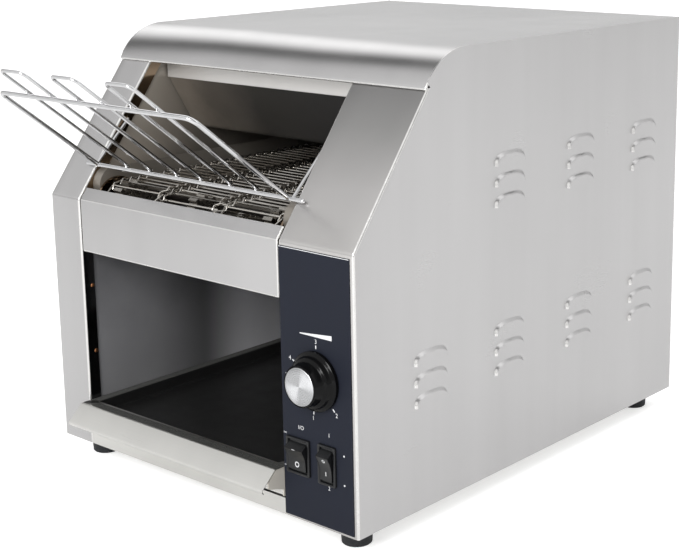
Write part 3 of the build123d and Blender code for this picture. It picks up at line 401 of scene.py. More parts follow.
def calculated(tree, operation, *values):
    """Result of a math operation on outputs and plain numbers."""
    node = add_node(tree, "ShaderNodeMath", operation=operation)
    for socket, value in zip(node.inputs, values):
        if isinstance(value, float):
            socket.default_value = value
        else:
            tree.links.new(value, socket)
    return node.outputs["Value"]


def ranged(tree, value, old, new, smooth=True):
    """Maps a value from one range to another."""
    node = add_node(tree, "ShaderNodeMapRange", [(value, "Value")],
                    interpolation_type="SMOOTHSTEP" if smooth else "LINEAR")
    for socket, number in zip(("From Min", "From Max", "To Min", "To Max"), (*old, *new)):
        node.inputs[socket].default_value = number
    return node.outputs["Result"]


def between(tree, value, low, high):
    """Spreads a noise value from about 0.3-0.7 to low-high."""
    return ranged(tree, value, (0.3, 0.7), (low, high), smooth=False)


def ramped(tree, value, stops):
    """Colour that runs through (place, colour) stops."""
    node = add_node(tree, "ShaderNodeValToRGB", [(value, "Fac")])
    elements = node.color_ramp.elements
    while len(elements) < len(stops):
        elements.new(0.5)
    for element, (place, tone) in zip(elements, stops):
        element.position = place
        element.color = tone
    return node.outputs["Color"]


def tinted(tree, factor, colour_value, darker):
    """Colour that a factor of 0 darkens by that share, and a factor of 1 leaves as it is."""
    mix = add_node(tree, "ShaderNodeMix", [(factor, "Factor")], data_type="RGBA")
    mix.inputs[6].default_value = tuple(c * (1 - darker) for c in colour_value[:3]) + (1.0,)
    mix.inputs[7].default_value = tuple(colour_value)
    return mix.outputs[2]


def multiplied(tree, one, other):
    """Product of two colours."""
    mix = add_node(tree, "ShaderNodeMix", [(one, 6), (other, 7)], data_type="RGBA", blend_type="MULTIPLY")
    mix.inputs[0].default_value = 1.0
    return mix.outputs[2]


def surfaced(tree, shader, base, roughness, height=None, strength=0.0, distance=0.0):
    """Gives a shader its colour and roughness, and a bump where there is a height."""
    tree.links.new(base, shader.inputs["Base Color"])
    tree.links.new(roughness, shader.inputs["Roughness"])
    if height:
        relief = add_node(tree, "ShaderNodeBump", [(height, "Height")], Strength=strength, Distance=distance)
        tree.links.new(relief.outputs["Normal"], shader.inputs["Normal"])


def brushed(name, colour_value, axis, roughness=0.3, spread=0.05, bump=0.05, darker=0.03, metallic=1.0):
    """Brushed or rolled steel: metallic, with fine scratches along one axis, and soft upright stripes of
    painted reflection.

    The scratches are drawn 0.5 mm apart so that they show."""
    tree, shader = new_material(name, metallic)
    scratches = grain(tree, 0.5 * MM, 90, axis)
    # painted reflection: soft upright stripes about 70 mm apart darken the colour by up to 7.5 percent
    reflection_bands = between(tree, grain(tree, 70 * MM, 14, 2), 0.925, 1.0)
    smears = between(tree, cloud(tree, 90 * MM), roughness - 0.03, roughness + 0.03)
    base = multiplied(tree, tinted(tree, between(tree, scratches, 0.0, 1.0), colour_value, darker), reflection_bands)
    uneven = calculated(tree, "ADD", between(tree, scratches, -spread, spread), smears)
    surfaced(tree, shader, base, uneven, scratches, bump, 0.03 * MM)


def heat_tint_and_shade(name, stops, axis, low, high, roughness, metallic, rear=1.0, painted_light=1.0, patchy=0.06):
    """Steel whose colour runs through the stops between two places along one axis: heat tint, and painted shade
    and light.

    It darkens to the share rear of that colour between 60 and 150 mm behind the front, as painted shade deep in
    the chamber. Under the belt painted light brightens it again by its own factor, 135 to 200 mm behind the
    front."""
    tree, shader = new_material(name, metallic)
    place = axes(tree)
    along = ranged(tree, place["XYZ"[axis]], (low, high), (0.0, 1.0), smooth=False)
    uneven = calculated(tree, "ADD", along, between(tree, cloud(tree, 60 * MM), -patchy, patchy))
    tone = ramped(tree, uneven, [(where, linear(text)) for where, text in stops])
    depth = ranged(tree, place["Y"], (FRONT + 60 * MM, FRONT + 150 * MM), (1.0, rear))
    under = ranged(tree, place["Z"], (190 * MM, 200 * MM), (1.0, 0.0))
    bright = ranged(tree, place["Y"], (FRONT + 135 * MM, FRONT + 200 * MM), (0.0, painted_light - 1.0))
    gated = calculated(tree, "MULTIPLY", bright, under)
    share = calculated(tree, "MULTIPLY_ADD", gated, depth, depth)
    surfaced(tree, shader, multiplied(tree, tone, share),
             between(tree, cloud(tree, 12 * MM), roughness * (1 - patchy), roughness * (1 + patchy)))


def smooth_metal(name, colour_value, roughness):
    """Drawn, chromed or polished metal, and the painted highlight of the folds: metallic, nearly even, with
    faint patches of wear.
    """
    tree, shader = new_material(name, 1.0)
    patches = cloud(tree, 6 * MM)
    surfaced(tree, shader, tinted(tree, between(tree, patches, 0.0, 1.0), colour_value, 0.08),
             between(tree, patches, roughness * 0.75, roughness * 1.35))


def moulded(name, colour_value, roughness, bump=0.1, coat=0.0, specular=0.5):
    """Moulded, printed or coated non-metal with a fine surface texture."""
    tree, shader = new_material(name)
    shader.inputs["Specular IOR Level"].default_value = specular
    shader.inputs["Coat Weight"].default_value = coat
    shader.inputs["Coat Roughness"].default_value = 0.05
    patches = cloud(tree, 25 * MM)
    surfaced(tree, shader, tinted(tree, between(tree, patches, 0.0, 1.0), colour_value, 0.12),
             between(tree, patches, roughness * 0.9, roughness * 1.15), cloud(tree, 0.3 * MM), bump, 0.02 * MM)


def spun_aluminium(name, colour_value, centre):
    """Aluminium cap faced on a lathe: rings 1.7 mm apart, and a painted highlight of two bright cones that turn
    with the face.
    """
    tree, shader = new_material(name, 1.0)
    coordinates = add_node(tree, "ShaderNodeTexCoord")
    local = add_node(tree, "ShaderNodeMapping", [(coordinates.outputs["Object"], "Vector")],
                     Location=tuple(-c for c in centre))
    parts = add_node(tree, "ShaderNodeSeparateXYZ", [(local.outputs["Vector"], "Vector")]).outputs
    # painted highlight: two opposite cones of lighter colour, set 38 degrees round the face
    angle = calculated(tree, "ADD", calculated(tree, "ARCTAN2", parts["Z"], parts["X"]), radians(-38))
    cones = calculated(tree, "COSINE", calculated(tree, "MULTIPLY", angle, 2.0))
    rings = add_node(tree, "ShaderNodeTexWave", [(local.outputs["Vector"], "Vector")], wave_type="RINGS",
                     rings_direction="Y", Scale=180.0, Distortion=0.6, Detail=2.0).outputs["Fac"]
    surfaced(tree, shader, tinted(tree, ranged(tree, cones, (-0.4, 0.9), (0.0, 1.0)), colour_value, 0.38),
             between(tree, rings, 0.22, 0.34), rings, 0.1, 0.02 * MM)


def finishes():
    """Every finish, made once and kept by name."""
    if "satin_steel_crosswise" in bpy.data.materials:
        return bpy.data.materials
    c = bpy.context.scene.toaster_colours
    # 304 stainless, number 4 finish: broad soft reflections drawn out across the grain
    brushed("satin_steel_crosswise", c.steel, axis=0, roughness=0.22, spread=0.02, bump=0.02, darker=0.02)
    brushed("satin_steel_lengthwise", c.steel, axis=1, roughness=0.3, spread=0.01, bump=0.004, darker=0.008)
    # the same steel on the outside of the folds and edges: a painted highlight, lighter than the sheet, and
    # smoother
    smooth_metal("painted_highlight_steel", c.painted_bright, 0.22)
    # 430 stainless, dulled and browned by heat
    brushed("heat_browned_steel", c.chamber, axis=1, roughness=0.42, darker=0.1, metallic=0.45)
    brushed("dull_rolled_steel", c.wall, axis=1, roughness=0.45, darker=0.06, metallic=0.4)
    # the baffle over the belt: heat-browned steel with painted shade, light at the left end, where the lamp
    # reaches in, and dark towards the right
    heat_tint_and_shade("shade_painted_baffle_steel", ((0.0, "#968D82"), (0.2, "#635D56"), (0.45, "#403E3B"),
                                        (1.0, "#3A393A")), 0, OPEN_LEFT, OPEN_RIGHT, 0.4, 0.4)
    # walls of both chambers: rolled steel below, heat straw above the belt and painted lighter there; painted
    # shade darkens them towards the rear, and painted light brightens them again under the belt, further back
    heat_tint_and_shade("chamber_wall_steel", ((0.0, "#A4A4A6"), (0.25, "#98989B"), (0.5, "#767679"),
                                       (0.66, "#ACA398"), (1.0, "#BDB6AC")), 2, UNDER, TOP, 0.42, 0.3,
                rear=0.45, painted_light=5.5)
    # the chute, paler towards the right
    heat_tint_and_shade("right_paler_chute_steel", ((0.0, "#88888B"), (0.5, "#99999C"), (1.0, "#CFCFD2")), 0, OPEN_LEFT,
                OPEN_RIGHT, 0.45, 0.35)
    # the strip beside the controls: painted shade, darker towards the hood
    heat_tint_and_shade("shade_painted_strip_steel", ((0.0, "#C9C7C5"), (0.6, "#CFCDCB"), (0.72, "#C4C2C1"), (0.84, "#A2A1A0"),
                                      (0.96, "#848383")), 2, UNDER, TOP, 0.28, 1.0, patchy=0.008)
    # mirror-like mill finish of the folded-in flanges, browned by heat
    heat_tint_and_shade("heat_browned_mirror", ((0.0, "#6F6F70"), (0.5, "#6F6F70"), (0.62, "#8F7B66"),
                                        (1.0, "#A08E7A")), 2, UNDER, TOP, 0.12, 1.0)
    # the tray's cheeks: blasted, so that they stay pale from every side
    brushed("blasted_steel", linear("#DDD8CE"), axis=1, roughness=0.5, metallic=0.3)
    # the header rail: the same blasting, a shade warmer
    brushed("blasted_rail_steel", linear("#E2E0DD"), axis=0, roughness=0.48, metallic=0.55)
    brushed("bright_rolled_steel", linear("#E5E4E0"), axis=0, roughness=0.34)
    # bright chrome plate on drawn wire
    smooth_metal("chromed_wire", c.chrome, 0.06)
    # stainless wire, cold drawn and slightly dulled by crumbs
    smooth_metal("drawn_stainless_wire", c.belt, 0.2)
    smooth_metal("ground_shaft_steel", linear("#A8A49E"), 0.26)
    smooth_metal("turned_brass", linear("#C9A86A"), 0.25)
    smooth_metal("copper_rivet", linear("#B07A54"), 0.35)
    smooth_metal("zinc_plated_screw", linear("#C9CCD0"), 0.24)
    # epoxy-silicone baked coating: dark, satin, faintly rough
    moulded("baked_coating", c.pan, 0.42, bump=0.15)
    # the same coating on the rim, painted lighter as the reflection on its flat, upturned face
    moulded("rim_reflection_coating", linear("#545452"), 0.5, bump=0.1)
    # reverse-printed polyester film, matt
    moulded("printed_film", c.overlay, 0.55, bump=0.05, specular=0.12)
    moulded("screen_ink", c.mark, 0.55, bump=0.02)
    # phenolic moulding, polished by its tool
    moulded("gloss_phenolic", c.black, 0.12, bump=0.02, specular=0.16)
    moulded("textured_nylon", linear("#121315"), 0.36, bump=0.2)
    moulded("inner_plastic", linear("#141416"), 0.5)
    moulded("white_nylon", linear("#D9D6CC"), 0.45)
    moulded("unglazed_ceramic", linear("#D8D2C4"), 0.8, bump=0.3)
    moulded("black_enamel_paint", linear("#1B1C1E"), 0.3, coat=0.3)
    moulded("oxidised_sheath", linear("#3A3532"), 0.55, bump=0.2)
    moulded("moulded_rubber", c.rubber, 0.62, bump=0.3)
    return bpy.data.materials


def dress(node, material):
    """Puts a finish into a CAD node's material slot."""
    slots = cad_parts[node].data.materials
    slots.clear()
    slots.append(finishes()[material])


# ------------------------------------------------------------------ casing
def front_outline():
    """Side view of the front, upright then sloping, with a small radius at the bend."""
    slope_top = TOP - BEND
    return rounded_path([(FRONT, UNDER), (FRONT, BEND), (FRONT + slope_top / tan(SLOPE), TOP)], [3 * MM],
                        steps=5)[0]


def front_at(z):
    """y of the front face at height z, and how much longer a horizontal cut is than a square one."""
    outline = front_outline()
    y = np.interp(z, outline[:, 1], outline[:, 0])
    steepness = np.gradient(outline[:, 0], outline[:, 1])
    return y, np.sqrt(1 + np.interp(z, outline[:, 1], steepness) ** 2)


LOUVRE_GROUPS, LOUVRES_IN_GROUP = 4, 3
# height of the lowest louvre in mm, and the groups of that row
LOUVRE_ROWS = ((88, range(LOUVRE_GROUPS)), (233, range(1, LOUVRE_GROUPS)))
LOUVRE_FIRST, LOUVRE_PITCH = 66 * MM, 104 * MM        # first group behind the front, and group to group
LOUVRE_POWER = 2.6                                    # of its arch: 2 is an ellipse, more is squarer


def louvre_edges(sizes):
    """Height of each louvre's lower edge, and the groups that have a louvre there."""
    for low, groups in LOUVRE_ROWS:
        for step in range(LOUVRES_IN_GROUP):
            yield UNDER + low * MM + step * sizes.louvre_pitch, groups


def louvre_bulge(y, z, lip, sizes):
    """How far the side sheet stands out: proud * smooth step of the way in from a louvre's arched edge.

    The arch is |dy / half| ** 2.6 + (dz / height) ** 2.6 = 1, and the way in from it is the level over its
    gradient. A louvre is open below: at its lower edge only the lip row stands out."""
    power = LOUVRE_POWER
    bulge = np.zeros(np.broadcast(y, z).shape)
    half = sizes.louvre_length / 2
    for edge, groups in louvre_edges(sizes):
        rise = z - edge
        inside = (rise > 1e-6) | ((abs(rise) <= 1e-6) & lip)
        up = np.clip(rise, 0, None) / sizes.louvre_height
        for group in groups:
            across = abs(y - FRONT - LOUVRE_FIRST - half - group * LOUVRE_PITCH) / half
            level = 1 - across ** power - up ** power
            steepness = np.hypot(across ** (power - 1) / half, up ** (power - 1) / sizes.louvre_height)
            way_in = np.clip(level / (power * steepness + 1) / sizes.louvre_wall, 0, 1)
            stand = sizes.louvre_proud * way_in ** 2 * (3 - 2 * way_in)
            bulge = np.maximum(bulge, np.where(inside, stand, 0))
    return bulge


def lower_front_corner(y, z, sizes):
    """Where a louvre's lower front corner is, which gets the painted highlight of the folds."""
    height, before, behind = 0.42 * sizes.louvre_height, 1 * MM, 3.2 * MM
    found = np.zeros(np.broadcast(y, z).shape, bool)
    for edge, groups in louvre_edges(sizes):
        low_down = (z - edge > -1e-6) & (z - edge < height)
        for group in groups:
            run = y - FRONT - LOUVRE_FIRST - group * LOUVRE_PITCH
            found |= low_down & (run > -before) & (run < behind)
    return found


def panel_rows(sizes):
    """Heights of the side panel's grid rows, and which of them are lip rows of a louvre."""
    z = list(np.linspace(UNDER, BEND - 4 * MM, 9)) + list(np.linspace(BEND - 4 * MM, BEND + 4 * MM, 9))
    z += list(np.linspace(BEND + 4 * MM, hood_edge_height(), 10))
    z += list(HOOD_AXIS[1] + HOOD_RADIUS * np.sin(np.linspace(pi - (pi / 2 + HOOD_SWEEP), pi / 2, 12)))
    rows = [(height, 0) for height in z]
    for edge, _ in louvre_edges(sizes):
        rows += [(edge, 0), (edge, 1)]
        rows += [(edge + share * sizes.louvre_height, 0) for share in np.sin(np.linspace(0, pi / 2, 12)[1:])]
    rows = sorted(set((round(height, 7), lip) for height, lip in rows))
    return np.array([row[0] for row in rows]), np.array([bool(row[1]) for row in rows])


def hood_edge_height():
    """Height of the hood's lower edge."""
    return HOOD_AXIS[1] + HOOD_RADIUS * sin(pi / 2 + HOOD_SWEEP)


SIDE, STRIP, FOLD, FLANGE = range(4)        # the finishes of a side panel, in order


def side_panel(side, sizes):
    """Side sheet, front strip and return flange folded from one piece, louvres pressed out.

    The grid runs in rows of equal height. Along a row it starts at the rear edge, follows the side sheet
    to the fold, turns 90 degrees, crosses the front strip, turns again and ends at the flange's edge.
    Above the hood's edge only the side sheet is left, and it follows the hood's curve."""
    z, lip = panel_rows(sizes)
    radius = sizes.bend_radius
    opening = OPEN_RIGHT if side > 0 else -OPEN_LEFT
    front, stretch = front_at(z)
    rise = np.clip((z - HOOD_AXIS[1]) / HOOD_RADIUS, 0, 1)
    curve = HOOD_BACK - HOOD_RADIUS * np.sqrt(1 - rise ** 2)
    above = z > hood_edge_height() + 0.1 * MM
    start = np.where(above, curve, front + radius * stretch)
    # columns of the side sheet, dense across each louvre group
    first = FRONT + 60 * MM
    stations = [first]
    half = sizes.louvre_length / 2
    for group in range(LOUVRE_GROUPS):
        middle = FRONT + LOUVRE_FIRST + half + group * LOUVRE_PITCH
        stations += list(middle - half * np.cos(np.linspace(0, pi, 31)))
        stations.append(middle + half + 20 * MM)
    stations = np.array(sorted(set(stations + [REAR])))
    stations = stations[stations <= REAR]
    base = np.maximum(first, start + 4 * MM)[:, None]
    y_side = base + (stations[None] - first) * (REAR - base) / (REAR - first)
    near = start[:, None] + (base - start[:, None]) * np.array([0, 0.35, 0.7])[None]
    y_side = np.hstack([near, y_side])[:, ::-1]
    x_side = HALF + louvre_bulge(y_side, z[:, None], lip[:, None], sizes)
    # the fold, the strip, the second fold and the flange, as (x, inset) pairs
    a = np.linspace(0, pi / 2, 6)[1:]
    fold = np.stack([HALF - radius + radius * np.cos(a), radius - radius * np.sin(a)], axis=-1)
    across = np.linspace(HALF - radius, opening + radius, 5)[1:-1]
    strip = np.stack([across, np.zeros_like(across)], axis=-1)
    second = np.vstack([[opening + radius, 0], np.stack([opening + radius - radius * np.sin(a),
                                                         radius - radius * np.cos(a)], axis=-1)])
    flange = np.array([[opening, sizes.flange_depth]])
    section = np.vstack([fold, strip, second, flange])
    x = np.hstack([x_side, np.broadcast_to(section[:, 0], (len(z), len(section)))])
    y = np.hstack([y_side, front[:, None] + section[:, 1] * stretch[:, None]])
    points = np.stack([side * x, y, np.broadcast_to(z[:, None], x.shape)], axis=-1)
    vertices, faces = surface(points)
    rows, columns = len(z) - 1, x.shape[1] - 1
    side_columns = y_side.shape[1] - 1
    fold_end = side_columns + len(fold)
    second_fold = fold_end + len(strip) + 1
    kinds = np.full((rows, columns), SIDE)
    kinds[:, side_columns:] = STRIP
    kinds[:, side_columns:fold_end] = FOLD
    kinds[:, second_fold:second_fold + len(second) - 1] = FOLD
    kinds[:, -1] = FLANGE
    keep = np.ones((rows, columns), bool)
    keep[above[1:], side_columns:] = False
    bulging = (x_side[:, 1:] > HALF + 1e-6) | (x_side[:, :-1] > HALF + 1e-6)
    stand = (x_side[:-1, 1:] - HALF) / sizes.louvre_proud
    # the louvres' lower front corners take the painted highlight of the folds
    painted_glint = (stand > 0.1) & (stand < 0.97) & lower_front_corner(y_side[:-1, 1:], z[:-1, None], sizes)
    kinds[:, :side_columns][painted_glint] = FOLD
    slit = (~lip[:-1] & lip[1:])[:, None] & bulging[1:]
    keep[:, :side_columns] &= ~slit
    keep = keep.ravel()
    faces = [face for face, kept in zip(faces, keep) if kept]
    if side > 0:
        faces = [face[::-1] for face in faces]
    name = "right" if side > 0 else "left"
    # the right front strip takes the painted shade that darkens it towards the hood
    strip_finish = "shade_painted_strip_steel" if side > 0 else "satin_steel_crosswise"
    # folds and edges take the painted highlight
    materials = ("satin_steel_lengthwise", strip_finish, "painted_highlight_steel", "heat_browned_mirror")
    piece = build(f"{name}_side_sheet", (vertices, faces), materials, "casing", [f"{name}_side_panel"],
                  sharp=28, indices=kinds.ravel()[keep], outward=False)
    thicken(piece, sizes.sheet)


# folds and edges get the painted highlight, a lighter colour than the flat sheet
FOLDED_STEEL = ("satin_steel_crosswise", "painted_highlight_steel")        # flat parts, then folds and edges


def cover_path(thickness):
    """Side view of the cover's outer skin: rear flange, flat top, hood curve, and a hem folded back inside."""
    start = np.array([[REAR, corner("rear_panel", True, 2)], [REAR, TOP], [HOOD_BACK, TOP]])
    flat, on_flat = rounded_path(start, [2 * MM])
    a = np.linspace(pi / 2, pi / 2 + HOOD_SWEEP, 25)[1:]
    curve = HOOD_AXIS + HOOD_RADIUS * np.stack([np.cos(a), np.sin(a)], axis=-1)
    out = np.array([cos(a[-1]), sin(a[-1])])
    along = np.array([-out[1], out[0]])
    b = np.linspace(0, pi, 9)[1:, None]
    centre = curve[-1] - out * thickness
    hem = centre + thickness * (out * np.cos(b) + along * np.sin(b))
    back = a[-1] - np.linspace(0, 8 * MM / HOOD_RADIUS, 4)[1:]
    inner = HOOD_AXIS + (HOOD_RADIUS - 2 * thickness) * np.stack([np.cos(back), np.sin(back)], axis=-1)
    on_arc = np.concatenate([on_flat, np.zeros(len(curve) - 1, bool), np.ones(len(hem), bool),
                             np.zeros(len(inner) + 1, bool)])
    return np.vstack([flat, curve, hem, inner]), on_arc


class TOASTER_OT_side_panels(bpy.types.Operator):
    """Folds the two side panels and presses out their louvres"""
    bl_idname = "toaster.side_panels"
    bl_label = "Side Panels"

    def execute(self, context):
        for side in (-1, 1):
            side_panel(side, context.scene.toaster_sizes)
        return {"FINISHED"}


class TOASTER_OT_top_cover(bpy.types.Operator):
    """Bends the top cover with its round hood and hem"""
    bl_idname = "toaster.top_cover"
    bl_label = "Top Cover"

    def execute(self, context):
        sheet = context.scene.toaster_sizes.sheet
        path, on_arc = cover_path(sheet)
        shape, flags = bent_sheet(path, on_arc, -HALF, HALF, sheet, side=-1)
        build("hood_cover", shape, FOLDED_STEEL, "casing", ["top_cover"], indices=flags)
        return {"FINISHED"}


class TOASTER_OT_front_sheets(bpy.types.Operator):
    """Bends the fascia under the feed mouth, the header rail and the heat baffle"""
    bl_idname = "toaster.front_sheets"
    bl_label = "Front Sheets"

    def execute(self, context):
        sizes = context.scene.toaster_sizes
        sheet, radius = sizes.sheet, sizes.bend_radius
        lip_back = (FASCIA_LIP - BEND) / tan(SLOPE)
        path, on_arc = rounded_path([(FRONT + lip_back, FASCIA_LIP), (FRONT, BEND), (FRONT, FASCIA_LOW),
                                     (FRONT + 18 * MM, FASCIA_LOW)], [1.2 * MM, radius])
        low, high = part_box("front_fascia")
        left_joint, right_joint = 1.8 * MM, 1.3 * MM
        shape, flags = bent_sheet(path, on_arc, low.x + left_joint, high.x - right_joint, sheet, side=-1)
        build("feed_fascia", shape, FOLDED_STEEL, "casing", ["front_fascia"], indices=flags)
        low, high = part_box("header_strip")
        path, on_arc = rounded_path([(low.y, high.z), (low.y, low.z), (low.y + 10 * MM, low.z)], [0.7 * MM])
        shape, _ = bent_sheet(path, on_arc, low.x, high.x, sheet, side=-1)
        build("header_rail", shape, ["blasted_rail_steel"], "casing", ["header_strip"])
        low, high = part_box("upper_baffle")
        header = corner("header_strip", False, 2)
        hang = low.z - sizes.baffle_drop
        face = low.y + 0.1 * MM
        path, on_arc = rounded_path([(face, high.z), (face, header), (low.y + 30 * MM, hang), (high.y, hang)],
                                    [3 * MM, 9 * MM])
        shape, _ = bent_sheet(path, on_arc, low.x, high.x, sheet, side=-1)
        build("heat_baffle", shape, ["shade_painted_baffle_steel"], "casing", ["upper_baffle"])
        return {"FINISHED"}


class TOASTER_OT_rivets(bpy.types.Operator):
    """Sets the copper rivets of the return flanges and the screws of the rear panel"""
    bl_idname = "toaster.rivets"
    bl_label = "Rivets And Screws"

    def execute(self, context):
        head, setback, heights = 2.0 * MM, 9.6 * MM, (85.5 * MM, 146.4 * MM)
        a = np.linspace(0, radians(85), 6)
        # low dome: radius * cos a, and 0.4 * radius * sin a above the flange
        profile = np.stack([head * np.cos(a), 0.4 * head * np.sin(a)], axis=-1)
        domes = []
        for x, inward in ((OPEN_LEFT, 1), (OPEN_RIGHT, -1)):
            for height in heights:
                place = (x, FRONT + setback, UNDER + height)
                domes.append(turned(profile, place, (inward, 0, 0), (0, 0, 1), 20))
        build("flange_rivets", merged(domes), ["copper_rivet"], "casing")
        low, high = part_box("rear_panel")
        # pan head with a round drive recess
        profile = MM * np.array([(0.3, 0.9), (1.2, 0.9), (1.4, 1.9), (2.4, 1.7), (3.2, 1.1), (3.5, 0.3),
                                 (3.5, 0)])
        heads, inset = [], 12 * MM
        for x in (low.x + inset, 0, high.x - inset):
            for z in (low.z + inset, high.z - inset):
                heads.append(turned(profile, (x, high.y, z), (0, 1, 0), (0, 0, 1), 24))
        build("rear_screws", merged(heads), ["zinc_plated_screw"], "casing")
        return {"FINISHED"}


# ------------------------------------------------------------------ conveyor
BELT_PITCH = 9.525 * MM
BELT_SPACE = 73 * MM              # from the middle of one loop of a strand to the next
SPROCKET_TEETH, STRAIGHT_LINKS = 12, 24


def strand_path(wire):
    """One belt wire: three bars, the middle one half a link back, joined by loops that hook the next strand."""
    pitch, space = BELT_PITCH, BELT_SPACE
    mouth, end, over, past = 2.6 * MM, 6.2 * MM, 1.1 * wire, 2.1 * wire
    over_width = mouth + (end - mouth) * pitch / (pitch + past)
    points = []
    for number, bar in enumerate((0, -pitch / 2, 0)):
        left = (number - 1.5) * space
        half = [(mouth, bar, 0), (over_width, bar - pitch, over), (end, bar - pitch - past, -over)]
        points += [(left + x, y, z) for x, y, z in reversed(half)]
        points += [(left + space - x, y, z) for x, y, z in half]
    return rounded_path(points, [1.3 * MM] * (len(points) - 2), steps=3)[0]


def belt_places():
    """Where each strand sits and which way the belt runs there: along both runs and round both shafts."""
    pitch, teeth, links = BELT_PITCH, SPROCKET_TEETH, STRAIGHT_LINKS
    _, axis_y, axis_z = middle_of("front_shaft")
    rear_y = middle_of("drive_shaft")[1]
    radius = pitch / 2 / sin(pi / teeth)
    turn = np.radians(np.arange(1, teeth // 2) * 360 / teeth)
    run = np.arange(links + 1) * pitch
    top = np.stack([axis_y + run, np.full(links + 1, axis_z + radius)], axis=-1)
    down = np.stack([rear_y + radius * np.sin(turn), axis_z + radius * np.cos(turn)], axis=-1)
    back = np.stack([rear_y - run, np.full(links + 1, axis_z - radius)], axis=-1)
    up = np.stack([axis_y - radius * np.sin(turn), axis_z - radius * np.cos(turn)], axis=-1)
    centres = np.vstack([top, down, back, up])
    return centres, unit(centres - np.roll(centres, 1, 0))


class TOASTER_OT_belt(bpy.types.Operator):
    """Links the wire belt from its strands"""
    bl_idname = "toaster.belt"
    bl_label = "Wire Belt"

    def execute(self, context):
        wire = context.scene.toaster_sizes.belt_wire
        points, faces = tube(strand_path(wire), wire / 2, (0, 0, 1), sides=7)
        centres, travel = belt_places()
        outward = np.stack([-travel[:, 1], travel[:, 0]], axis=-1)
        placed = np.empty((len(centres), len(points), 3))
        placed[..., 0] = OPEN_MIDDLE + points[:, 0]
        placed[..., 1:] = (centres[:, None] + travel[:, None] * points[None, :, 1:2]
                           + outward[:, None] * points[None, :, 2:3])
        strands = merged([(strand, faces) for strand in placed])
        build("belt_strands", strands, ["drawn_stainless_wire"], "casing", ["conveyor_belt"],
              sharp=50)
        return {"FINISHED"}


# ------------------------------------------------------------------ feed rack
class Rack:
    """Measures of the rack's wires: lengths from the frame, and the rise and spacing of the bends."""

    def __init__(self, sizes):
        low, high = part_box("rack_bar")
        self.bar = middle_of("rack_bar")
        self.bar_half = (high.x - low.x) / 2
        low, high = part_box("rack_frame")
        self.frame_half = (high.x - low.x) / 2 - sizes.rack_wire / 2
        self.rise = radians(37.9)
        self.along = np.array([0, -cos(self.rise), sin(self.rise)])
        self.over = np.array([0, sin(self.rise), cos(self.rise)])
        self.frame_length = (high.z - sizes.rack_wire / 2 - self.bar[2]) / sin(self.rise)
        low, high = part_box("rack_loops")
        self.lift = (sizes.rack_wire + sizes.rack_loop_wire) / 2 + 0.1 * MM
        reach = self.bar[1] - low.y - sizes.rack_loop_wire / 2
        self.loop_length = (reach + self.lift * sin(self.rise)) / cos(self.rise)
        self.spacing = 65.5 * MM
        self.loop_half = 15.2 * MM

    def place(self, points):
        """Points (across, along the legs, lift) of the rack in the frame."""
        points = np.asarray(points, float)
        return (self.bar + points[:, :1] * np.array([1.0, 0, 0]) + points[:, 1:2] * self.along
                + points[:, 2:3] * self.over)


def bead(centre, radii, along, up, sides=12):
    """Weld bead: an ellipsoid, centre + sum of radius * direction * (cos t, sin t cos a, sin t sin a)."""
    along, up = unit(along), unit(up)
    across = np.cross(along, up)
    t = np.linspace(0.05, pi - 0.05, 7)[:, None, None]
    a = np.linspace(0, 2 * pi, sides, endpoint=False)[None, :, None]
    points = (np.asarray(centre) + radii[0] * np.cos(t) * along + radii[1] * np.sin(t) * np.cos(a) * across
              + radii[2] * np.sin(t) * np.sin(a) * up)
    return surface(points, wrap_columns=True, caps=True)


class TOASTER_OT_rack(bpy.types.Operator):
    """Bends and welds the wire feed rack"""
    bl_idname = "toaster.rack"
    bl_label = "Feed Rack"

    def execute(self, context):
        sizes = context.scene.toaster_sizes
        rack = Rack(sizes)
        wire, thin = sizes.rack_wire / 2, sizes.rack_loop_wire / 2
        chrome = ["chromed_wire"]
        half = rack.frame_half
        path = rack.place(rounded_path([(-half, wire, 0), (-half, rack.frame_length, 0),
                                        (half, rack.frame_length, 0), (half, wire, 0)], [8 * MM] * 2, 10)[0])
        build("frame_wire", tube(path, wire, rack.over, 16), chrome, "rack", ["rack_frame"])
        loops, beads = [], []
        for number in (-1, 0, 1):
            middle, width, lift = number * rack.spacing, rack.loop_half, rack.lift
            path = rounded_path([(middle - width, 0, lift), (middle - width, rack.loop_length, lift),
                                 (middle + width, rack.loop_length, lift), (middle + width, 0, lift)],
                                [7 * MM] * 2, 10)[0]
            loops.append(tube(rack.place(path), thin, rack.over, 14))
            for x in (middle - width, middle + width):
                for run in (0.4 * MM, rack.frame_length):
                    spot = rack.place([(x, run, lift / 2)])[0]
                    beads.append(bead(spot, (2.2 * MM, 1.5 * MM, 1.6 * MM), rack.along, rack.over))
        build("loop_wires", merged(loops + beads), chrome, "rack", ["rack_loops"])
        ends = np.array([[-rack.bar_half, 0, 0], [rack.bar_half, 0, 0]]) + rack.bar
        bar = tube(np.linspace(ends[0] + [wire, 0, 0], ends[1] - [wire, 0, 0], 5), wire, (0, 0, 1), 16)
        build("hinge_bar", bar, chrome, "rack", ["rack_bar"])
        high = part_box("rack_arms")[1]
        pivot = (high.y - thin, high.z - thin)
        arms, inset = [], 2.6 * MM
        for x, out in ((OPEN_LEFT + inset, -1), (OPEN_RIGHT - inset, 1)):
            start = np.array([x, rack.bar[1], rack.bar[2]])
            end = np.array([x, *pivot])
            way = unit(end - start)
            path, _ = rounded_path([start + way * wire, end, end + [out * 7 * MM, 0, 0]], [3 * MM], 8)
            arms.append(tube(path, thin, np.cross(way, (1.0, 0, 0)), 14))
            arms.append(bead(start + way * wire, (2.0 * MM, 1.6 * MM, 1.6 * MM), way, (1.0, 0, 0)))
        build("arm_wires", merged(arms), chrome, "rack", ["rack_arms"])
        return {"FINISHED"}


# ------------------------------------------------------------------ tray
PAN_SHEET = 0.8 * MM


